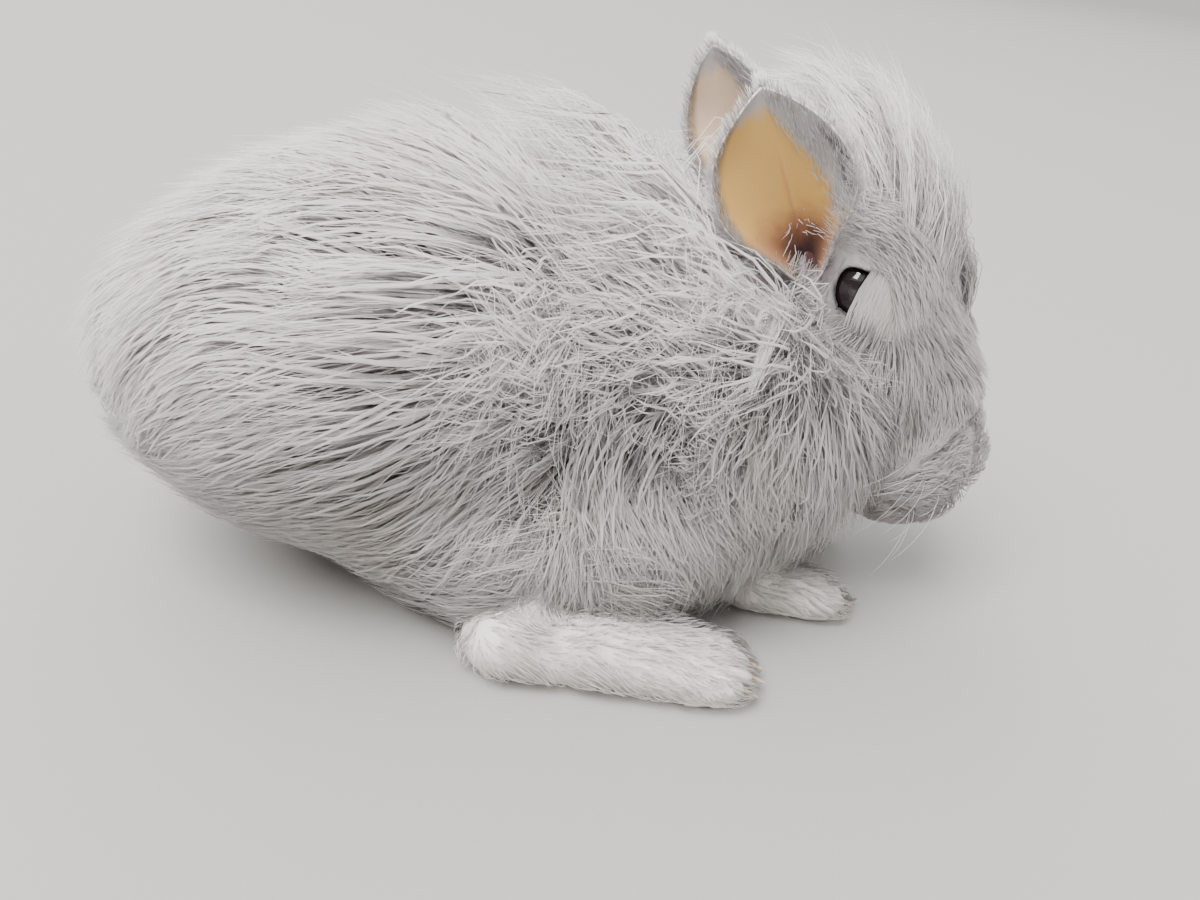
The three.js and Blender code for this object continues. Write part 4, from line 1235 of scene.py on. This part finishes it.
# The coat stands higher along the back, and highest behind the ears.
def crestShare(p):
    top = smooth(p[:, 2], 64, 92)
    nape = smooth(p[:, 0], -2, 14) * smooth(p[:, 2], 76, 98)
    return 1 + 0.16 * top + 0.2 * nape


# Where the coat is deep its hairs are long enough to reach its surface and still lie along it.
def reachOut(p):
    deep = -trunkLayer(p, np.ones(len(p)))[0]
    return crestShare(p) * (1 + 0.3 * smooth(deep, 13, 24))


noise = np.sin(centres[:, 0] / 7.3 + 1.7 * np.sin(centres[:, 2] / 9.1) + 1.3 * np.sin(centres[:, 1] / 8.3))
woolly = smooth(centres[:, 0], -45, 30) * smooth(116 - centres[:, 2], 0, 40)  # matted on the shoulder
woolly = smooth(woolly + 0.12 * noise, 0.2, 0.6)
seen = mix(0.3, 1.0, smooth(faceNormals[:, 2], -0.95, -0.45))  # fewer underneath
hem = smooth(56 - centres[:, 2], 0, 14) * smooth(np.abs(centres[:, 1]), 18, 26)
hem = hem * smooth(centres[:, 0], -50, -25)  # denser along the lower edge
body = np.maximum(onTrunk, (centres[:, 2] > 21) & onLeg) * seen * (1 + 0.9 * hem)
way = {
    "lie": trunkLie,
    "layer": trunkLayer,
    "unwrap": bodyUnwrap,
    "climb": maneClimb,
    "clearOf": clearOfHead,
    "lengthBy": reachOut,
}
backs, flanks = body * (1 - woolly), body * woolly
groom("underWool", "under", backs, underCoat, seed=5, share=lambda p: 0.92 * crestShare(p), **way)
groom("underFlankWool", "underCurled", flanks, underCoat, seed=15, share=lambda p: 0.87 * crestShare(p),
      **way)
groom("backWool", "silk", backs, woolCoat, seed=6, share=crestShare, splits=(0.2, 0.4, 0.6, 0.8), **way)
groom("flankWool", "wool", flanks, woolCoat, seed=7, share=crestShare, splits=(0.25, 0.5, 0.75), **way)

cheeks = smooth(30 - inHead[:, 0], 0, 8) * smooth(6 - inHead[:, 2], 0, 6)
crown = smooth(-4 - inHead[:, 0], 0, 8)
longHaired = np.maximum(cheeks, crown)
eyeAway = np.min([np.linalg.norm(away, axis=1) for away in besideEyes(inHead)], 0)
notBare = smooth(eyeAway, 9.5, 11.5) * smooth(mouthAway, 1.2, 2.2) * smooth(noseAway, 5, 6.5)
onMuzzle = smooth(inHead[:, 0] + 0.35 * inHead[:, 2], 38, 46)  # in front of the cheeks
forehead = smooth(inHead[:, 2], 1, 8) * (1 - smooth(inHead[:, 0], 50, 62)) * smooth(inHead[:, 0], -10, -4)
earAway = np.min([np.linalg.norm(centres - fromHead(ear[side]["base"]), axis=1) for side in ears], 0)
temple = np.maximum(smooth(24 - earAway, 0, 6), smooth(21 - eyeAway, 0, 6) * smooth(inHead[:, 2], 0, 5))
feet = onLeg * smooth(26 - centres[:, 2], 0, 4) * smooth(centres[:, 2], 0.8, 2.0)


def foreheadDepth(p):
    return mix(1.0, 0.3, smooth(toHead(p)[:, 0], 18, 48))


# The short fur stands a few millimetres deep, least round the eye.
def faceDepth(p):
    h = toHead(p)
    depth = mix(4.5, 3.0, smooth(h[:, 0], 34, 50))
    depth = mix(depth, mix(9, 3, smooth(h[:, 0], 22, 48)), smooth(h[:, 2], -2, 9))
    nearEye = np.linalg.norm(h * np.array([1, 0, 1]) - onSide(eye["at"], 0), axis=-1)
    depth = mix(1.6, depth, smooth(nearEye, 9, 17))
    return depth / np.maximum(-massField(h, headCoat, headCoatSoftness)[0], 3)


def muzzleDepth(p):
    return 3.8 / np.maximum(-massField(toHead(p), headCoat, headCoatSoftness)[0], 3.8)


def templeDepth(p):
    return np.full(len(p), 0.45)


shortHaired = onHead * (1 - longHaired) * notBare
way = {"lie": headLie, "layer": headLayer, "unwrap": headUnwrap, "clearOf": clearOfEyes}
groom("cheekWool", "cheek", onHead * longHaired * seen * notBare, woolCoat, seed=8, **way)
way["slot"] = "face"
groom("foreheadWool", "forehead", onHead * forehead * notBare, woolCoat, seed=12, share=foreheadDepth, **way)
groom("faceFur", "face", shortHaired * (1 - onMuzzle), faceCoat, seed=9, share=faceDepth, **way)
way["lie"] = templeLie
groom("templeFur", "temple", onHead * temple * notBare, faceCoat, seed=14, share=templeDepth, **way)
way.update(lie=headLie, clearOf=None)
groom("muzzleFur", "muzzle", shortHaired * onMuzzle, muzzleCoat, seed=10, share=muzzleDepth, **way)
groom("footFur", "feet", feet, footCoat, legLie, legLayer, footUnwrap, 11, slot="foot")


def finishHairs(name, kind, path, out, tint, unwrap, material, slot, width=None):
    spec = coat[kind]
    own = np.random.default_rng(len(path))
    if width is None:
        width = mix(*spec["width"], own.random(len(path)))
    if out.ndim == 2:
        out = np.repeat(out[:, None], path.shape[1], 1)
    hairMesh(name, path, width, tint, unwrap, material, spec, unit(out), slot)
    print(name + ":", len(path), "hairs")


# The forelock fans out from the crown and the forehead. Its tips follow a line from the ears to the brow.
forelock = {
    "roots": (-24, 32),
    "across": 14,
    "clumps": 64,
    "each": 52,
    "reach": 19,
    "tips": [(36, 141), (46, 148), (58, 152), (72, 147), (86, 135), (94, 120), (99, 104)],
}


def forelockHairs():
    own = np.random.default_rng(21)
    spec = coat["forelock"]
    t = np.linspace(0, 1, spec["rings"] + 1)[None, :, None]
    marks = np.linspace(0, 1, len(forelock["tips"]))
    tipX, tipZ = zip(*forelock["tips"])
    n = forelock["each"]
    allPaths, allOut, allTint = [], [], []
    for _ in range(forelock["clumps"]):
        fan, across = own.random(), own.uniform(-1, 1)
        share = np.clip(fan + own.normal(0, 0.045, n), 0, 1)
        aside = np.clip(across + own.normal(0, 0.13, n), -1.1, 1.1)
        root = vectors(mix(*forelock["roots"], share), forelock["across"] * aside, 16)
        root = fromHead(ontoHead(root, 5))
        tipShare = np.clip(0.15 * share + 0.85 * fan + own.normal(0, 0.05), 0, 1)
        spread = forelock["reach"] * (0.6 * aside + 0.4 * across)
        tip = vectors(np.interp(tipShare, marks, tipX), spread, np.interp(tipShare, marks, tipZ))
        reach = (1 - 0.2 * aside**2) * (0.9 + 0.16 * own.random()) * (0.78 + 0.26 * own.random(n))
        tip = root + (tip + own.normal(0, 1.6, (n, 3)) - root) * reach[:, None]
        bow = np.array([2.0, 0, 3.5]) * own.normal(1, 0.5) + own.normal(0, 1.2, 3)
        path = root[:, None] + (tip - root)[:, None] * t + bow * np.sin(math.pi * t)
        path = path + own.normal(0, 0.9, (n, spec["rings"] + 1, 3)) * t**0.7
        allPaths.append(path)
        allOut.append(unit(tip - np.array([62, 0, 104]) + own.normal(0, 8, (n, 3))))
        allTint.append(np.clip(own.normal(0.4, 0.1) + own.normal(0, 0.1, n), 0, 1))
    path, out, tint = (np.concatenate(parts) for parts in (allPaths, allOut, allTint))
    keep = ~inEarCup(path)
    path, out, tint = path[keep], out[keep], tint[keep]
    finishHairs("forelock", "forelock", path, out, tint, headUnwrap(path[:, 0]), woolCoat, "wool")


forelockHairs()


# Short down on the back of each ear, a pale fringe on its rim, grey down on the fold of its cup and loose
# hairs across the cup's foot.
earHairs = {"back": 900, "rim": 1100, "fold": 760, "feather": 110}


def earDown(side):
    own = np.random.default_rng(31 if side == "right" else 32)
    sheet = ears[side]
    spec = coat["ear"]
    t = np.linspace(0, 1, spec["rings"] + 1)[None, :, None]
    rings, columns = ear["rings"], ear["columns"]
    back, cup = sheet["points"].reshape(2, rings, columns, 3)
    up, opening, aside = sheet["up"], sheet["opening"], sheet["aside"]
    backs = earHairs["back"]
    i, j = own.uniform(6, rings - 2, backs), own.uniform(0, columns - 1.01, backs)
    a, b = i.astype(int), j.astype(int)
    here = back[a, b]
    across, along = back[a, b + 1] - here, back[np.minimum(a + 1, rings - 1), b] - here
    root = here + along * (i - a)[:, None] + across * (j - b)[:, None]
    out = unit(np.cross(along, across))
    out = out * np.sign(-(out @ opening) * (np.abs(b / columns - 0.5) < 0.25) + 1e-3)[:, None]
    out = unit(root - back.mean(1)[a] - opening * 3) * 0.7 + out * 0.3
    length = own.uniform(2.2, 4.2, backs)[:, None, None]
    lie = unit(up + own.normal(0, 0.22, (backs, 3)))
    path = root[:, None] + length * t * lie[:, None] + unit(out)[:, None] * (0.9 * np.sin(t * 2.2)) * 0.8
    rims = earHairs["rim"]
    rimPoints = sheet["points"][sheet["rim"]]
    rimHeight = (rimPoints - fromHead(ear[side]["base"])) @ up
    high = np.flatnonzero(rimHeight > 3)
    pick = high[own.integers(0, len(high), rims)]
    rimRoot = rimPoints[pick] + own.normal(0, 0.35, (rims, 3))
    away = unit(rimPoints[pick] - sheet["points"].mean(0) - 0.2 * opening)
    rimLie = unit(away * 0.6 + up * 0.9 + own.normal(0, 0.22, (rims, 3)))
    rimLength = own.uniform(1.6, 3.6, rims)[:, None, None]
    rimPath = rimRoot[:, None] + rimLength * t * rimLie[:, None] - opening * 0.3 * np.sin(3 * t)
    path = np.concatenate([path, rimPath])
    out = np.concatenate([unit(out), unit(away + 0.5 * opening)])
    tint = np.clip(own.normal(0.4, 0.15, backs + rims), 0, 1)
    rimSpread = np.stack([1.2 + pick / len(rimPoints), own.random(rims)], -1)
    spread = np.concatenate([np.stack([i / rings, j / columns], -1), rimSpread])
    finishHairs("earDown_" + side, "ear", path, out, tint, spread, earCoat, "face")

    folds = earHairs["fold"]
    i = own.uniform(0.36, 0.97, folds)
    edge = 1 - 0.12 * own.random(folds) ** 1.5
    fold = np.maximum(1.0 - 1.15 * i, 0.0)  # where the grey fold begins across the cup
    front = 1 if sheet["across"][-1] > 0 else -1
    j = np.where(own.random(folds) < 0.72, mix(fold, 1, own.random(folds)), -edge) * front
    a, b = (i * (rings - 1)).astype(int), np.clip(((j + 1) / 2 * (columns - 1)).astype(int), 0, columns - 2)
    root = cup[a, b] + (cup[a, b + 1] - cup[a, b]) * own.random((folds, 1)) + own.normal(0, 0.15, (folds, 3))
    lie = unit(up + opening * 0.12 + own.normal(0, 0.16, (folds, 3)))
    length = own.uniform(2.5, 4.5, folds)[:, None, None]
    path = root[:, None] + length * t * lie[:, None] + opening * (0.5 * np.sin(2.6 * t))
    tint = np.clip(own.normal(0.55, 0.2, folds), 0, 1)
    out, spread = np.tile(opening, (folds, 1)), np.stack([i, j], -1)
    finishHairs("earFold_" + side, "ear", path, out, tint, spread, faceCoat, "face")

    feathers = earHairs["feather"]
    inFront = (rimPoints - sheet["points"].mean(0)) @ aside > 0
    frontRim = np.flatnonzero((rimHeight > 10) & (rimHeight < 26) & inFront)
    pick = frontRim[own.integers(0, len(frontRim), feathers)]
    root = rimPoints[pick] + own.normal(0, 0.6, (feathers, 3))
    lie = unit(-aside * 0.5 + up * 0.75 + opening * 0.35 + own.normal(0, 0.2, (feathers, 3)))
    length = own.uniform(4, 8, feathers)[:, None, None]
    path = root[:, None] + length * t * lie[:, None] - opening * 2.0 * t**2
    tint = np.clip(own.normal(0.4, 0.15, feathers), 0, 1)
    width = own.uniform(0.07, 0.12, feathers)
    out = np.tile(opening, (feathers, 1))
    finishHairs("earFeather_" + side, "ear", path, out, tint, root[:, [0, 2]], earCoat, "face", width)


for side in ears:
    earDown(side)


# A tuft hangs from each brow over the front of the eye.
brow = {"from": (-2.8, 9.8), "to": (17, 14.5), "count": 1150, "length": (20, 28), "clear": 1.4}


def browTufts():
    own = np.random.default_rng(41)
    rings, n = coat["brow"]["rings"], brow["count"]
    ball = eye["radius"] + brow["clear"]
    for side, sign in sides.items():
        u = own.random(n)
        rootX = mix(brow["from"][0], brow["to"][0], u)
        rootZ = mix(brow["from"][1], brow["to"][1], own.random(n))
        root = ontoHead(vectors(rootX, 15.0 * sign, rootZ), 6)
        length = mix(*brow["length"], own.random(n))
        p = root.copy()
        path = [root]
        for k in range(1, rings + 1):
            _, away = headField(p)
            forward = 0.05 + 0.5 * u + 0.8 * (k / rings) ** 1.5
            lie = vectors(forward, 0.1 * sign, -1) + own.normal(0, 0.05, (n, 3))
            lie = unit(lie - away * (lie * away).sum(-1, keepdims=True))
            p = p + lie * (length / rings)[:, None]
            off, away = headField(p)
            p = p + away * ((2.6 * math.sin(2.2 * k / rings) + 0.5) - off)[:, None]
            flatAway = np.hypot(p[:, 0] - eye["at"][0], p[:, 2] - eye["at"][2])
            bulge = eye["at"][1] + np.sqrt(np.clip(ball**2 - flatAway**2, 0, None))
            p[:, 1] = np.where(flatAway < ball, sign * np.maximum(p[:, 1] * sign, bulge), p[:, 1])
            path.append(p)
        path = fromHead(np.stack(path, 1))
        out = np.tile(headTurn @ np.array([0.2, sign, 0.3]), (n, 1))
        width = np.where(own.random(n) < 0.35, own.uniform(0.5, 0.8, n), own.uniform(0.16, 0.3, n))
        tint = np.clip(own.normal(0.35, 0.12, n), 0, 1)
        spread = headUnwrap(path[:, 0])
        finishHairs("browTuft_" + side, "brow", path, out, tint, spread, faceCoat, "face", width)


browTufts()

# Matted white curls below the ears, and one straight lock: where each starts and ends, how tight it curls,
# its number of hairs, how far they spread and fray, and how often it winds.
curls = [
    ((34, -45, 102), (31, -50, 95), 1.5, 24, 0.9, 0.0, 9.0),
    ((30, -46, 101), (27, -51, 94), 1.2, 24, 0.9, 0.0, 9.0),
    ((38, -44, 102), (35, -50, 95), 1.4, 24, 0.9, 0.0, 9.0),
    ((36, -43, 106), (32, -47, 101), 1.2, 24, 0.9, 0.0, 9.0),
    ((42, -44, 100), (40, -49, 94), 1.0, 24, 0.9, 0.0, 9.0),
    ((47, -43, 99), (40, -55, 82), 0.6, 80, 1.3, 0.5, 3.0),
]


def curlLocks():
    own = np.random.default_rng(51)
    t = np.linspace(0, 1, coat["curl"]["rings"] + 1)[None, :, None]
    paths, outs = [], []
    for start, end, tight, n, spread, fray, winds in curls:
        for sign in (1, -1):
            first, last = onSide(start, sign), onSide(end, sign)
            aside = np.sign(first[1])
            apart = own.normal(0, spread, (n, 1, 3)) + fray * own.normal(0, 1, (n, 1, 3)) * np.sin(3.1 * t)
            line = first + (last - first) * t * own.uniform(0.8, 1.15, (n, 1, 1))
            inward = np.array([0.1, -0.75 * aside, -0.3]) * 7
            swing = t * winds + own.normal(0, 1.2, (n, 1, 1)) + own.random() * 6
            curl = np.concatenate([np.cos(swing), 0.3 * np.sin(swing), np.sin(swing)], -1)
            path = line + inward * (1 - t) ** 3 + apart * (1 - 0.75 * t) + tight * smooth(t, 0, 0.3) * curl
            paths.append(path)
            outs.append(np.tile(unit(np.array([0.1, aside, 0.5])), (n, 1)))
    path = np.concatenate(paths)
    tint = np.clip(own.normal(0.3, 0.1, len(path)), 0, 1)
    spread = bodyUnwrap(path[:, 0])
    finishHairs("cheekCurls", "curl", path, np.concatenate(outs), tint, spread, earCoat, "wool")


curlLocks()


# Claws: curved cones of horn at the ends of the toes.
def claws(leg, name):
    toes, claw = leg["toes"], leg["claw"]
    rings, columns = 10, 12
    turn = np.linspace(0, 2 * math.pi, columns, endpoint=False)
    for side in sides:
        clawPoints, clawFaces, shares = [], [], []
        for i in range(toes["count"]):
            offset = i - (toes["count"] - 1) / 2
            tipX = toes["at"] - toes["curve"] * offset**2 + toes["length"]
            for k in range(rings + 1):
                t = k / rings
                r = claw["radius"] * (1 - t) ** 0.65 * (1 if k else 0)
                x = tipX - 2.6 + claw["length"] * (t * 0.92)
                z = toes["height"] * 0.95 - 1.9 * t**2 * toes["height"] / 5.2
                y = toes["spread"] * offset + 0.8 * r * np.cos(turn)
                clawPoints.append(vectors(x, y, np.maximum(z + r * np.sin(turn), 0.15)))
                shares.append(np.full(columns, t))
            first = i * (rings + 1) * columns
            number = first + np.arange((rings + 1) * columns).reshape(rings + 1, columns)
            right = np.roll(number, -1, 1)
            clawFaces.append(np.stack([number[:-1], right[:-1], right[1:], number[1:]], -1).reshape(-1, 4))
        allClaws = fromFoot(np.concatenate(clawPoints), leg, side)
        horn = twoToneMaterial("clawHorn" + name + side.title(), clawHorn)
        piece = newMesh(name + "_" + side, allClaws, np.concatenate(clawFaces), [horn])
        pointAttribute(piece.data, "hairShare", np.concatenate(shares))
        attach(piece, "root")
    print(name + ":", toes["count"], "on each side")


claws(hindLeg, "hindClaws")
claws(foreLeg, "foreClaws")


whisker = {"each": 16, "length": (18, 34), "width": 0.14, "tint": 0.2}


def whiskers():
    own = np.random.default_rng(61)
    paths = []
    t = np.linspace(0, 1, coat["whisker"]["rings"] + 1)[None, :, None]
    n = whisker["each"]
    for sign in (1, -1):
        root = vectors(own.uniform(52, 64, n), 12.0 * sign, own.uniform(-22, -13, n))
        root = ontoHead(root, 5)
        lie = unit(vectors(own.uniform(-0.5, 0.3, n), 1.0 * sign, own.uniform(-0.5, 0.1, n)))
        length = own.uniform(*whisker["length"], n)[:, None, None]
        droop = np.array([-0.28, 0, -0.2]) * length * t**2
        paths.append(root[:, None] - lie[:, None] * 0.5 + length * t * lie[:, None] + droop)
    path = fromHead(np.concatenate(paths))
    out = np.tile([0.0, 0.0, 1.0], (len(path), 1))
    tint, width = np.full(len(path), whisker["tint"]), np.full(len(path), whisker["width"])
    finishHairs("whiskers", "whisker", path, out, tint, headUnwrap(path[:, 0]), earCoat, "face", width)


whiskers()


# A round cove: the floor rises into a wall all about, so that no edge shows from any side.
cove = {"floor": 6000, "bend": 3000, "top": 5500, "columns": 96}


def studioCove():
    bend = np.linspace(0, math.pi / 2, 17)
    out, up = cove["floor"] + cove["bend"] * np.sin(bend), cove["bend"] * (1 - np.cos(bend))
    radius = np.concatenate([[cove["floor"] * 0.4], out, [cove["floor"] + cove["bend"]]])
    height = np.concatenate([[0.0], up, [cove["top"]]])
    turn = np.linspace(0, 2 * math.pi, cove["columns"], endpoint=False)
    ring = vectors(radius[:, None] * np.cos(turn), radius[:, None] * np.sin(turn), height[:, None])
    number = np.arange(len(radius) * cove["columns"]).reshape(len(radius), cove["columns"])
    right = np.roll(number, -1, 1)
    walls = np.stack([number[:-1], right[:-1], right[1:], number[1:]], -1).reshape(-1, 4)[:, ::-1]
    middle = number.size
    disc = np.stack([number[0], right[0], 0 * number[0] + middle], -1)
    loops = np.concatenate([walls.ravel(), disc.ravel()])
    sizes = np.concatenate([np.full(len(walls), 4), np.full(len(disc), 3)])
    covePoints = np.concatenate([ring.reshape(-1, 3), [(0.0, 0.0, 0.0)]]) - shift * np.array([1, 1, 0])
    paper = twoToneMaterial("studioFloorPaper", floorPaper)
    floorMesh = newMesh("studioFloor", covePoints, loops, [paper], sizes)


studioCove()

# The photo's own camera: the angles and the roll are in degrees, the focal length in its pixels.
view = {
    "azimuth": -8,
    "elevation": 27,
    "distance": 310,
    "target": (15, 0, 35),
    "roll": 8,
    "focal": 1085.0,
    "pixelsWide": 1200,
}


def placeCamera():
    a, e, roll = (math.radians(view[key]) for key in ("azimuth", "elevation", "roll"))
    back = np.array([math.sin(a) * math.cos(e), -math.cos(a) * math.cos(e), math.sin(e)])
    right = unit(np.cross(-back, [0, 0, 1]))
    up = np.cross(right, -back)
    data = bpy.data.cameras.new("camera")
    data.sensor_width = 36.0
    data.lens = view["focal"] / view["pixelsWide"] * data.sensor_width
    data.clip_start = 0.01
    camera = bpy.data.objects.new("camera", data)
    matrix = np.eye(4)
    matrix[:3, 0] = right * math.cos(roll) + up * math.sin(roll)
    matrix[:3, 1] = -right * math.sin(roll) + up * math.cos(roll)
    matrix[:3, 2] = back
    matrix[:3, 3] = toFrame(np.array(view["target"], float) + view["distance"] * back)
    camera.matrix_world = Matrix(matrix.tolist())
    bpy.context.scene.collection.objects.link(camera)
    bpy.context.scene.camera = camera


placeCamera()


def areaLight(name, place, target, size, power, colour="#FFFFFF"):
    data = bpy.data.lights.new(name, "AREA")
    data.size = size / 1000
    data.energy = power
    data.color = linear(colour)[:3]
    light = bpy.data.objects.new(name, data)
    where, to = Vector(toFrame(place)), Vector(toFrame(target))
    light.location = where
    light.rotation_euler = (to - where).to_track_quat("-Z", "Y").to_euler()
    bpy.context.scene.collection.objects.link(light)


areaLight("keyLight", (-1800, -2100, 4200), (0, 0, 60), 3000, 560.0)
areaLight("backLight", (-900, 3600, 3000), (0, 0, 60), 3600, 170.0)


# A broad, even light over the whole floor, as from a ceiling of soft boxes.
def ceilingLight(name, fromWhere, angle, strength):
    data = bpy.data.lights.new(name, "SUN")
    data.angle = math.radians(angle)
    data.energy = strength
    light = bpy.data.objects.new(name, data)
    light.rotation_euler = (-Vector(fromWhere)).to_track_quat("-Z", "Y").to_euler()
    bpy.context.scene.collection.objects.link(light)


ceilingLight("ceilingLight", (-0.5, -0.1, 1.0), 60, 3.5)
world = bpy.data.worlds.new("world")
bpy.context.scene.world = world
world.use_nodes = True
background = world.node_tree.nodes["Background"]
background.inputs["Color"].default_value = (0.94, 0.95, 0.97, 1)
background.inputs["Strength"].default_value = 1.3
print("studio: cove, camera and", len(bpy.data.lights), "lights")

print("coat triangles:", sum(coatTriangles.values()), "most in one piece:", max(coatTriangles.values()))
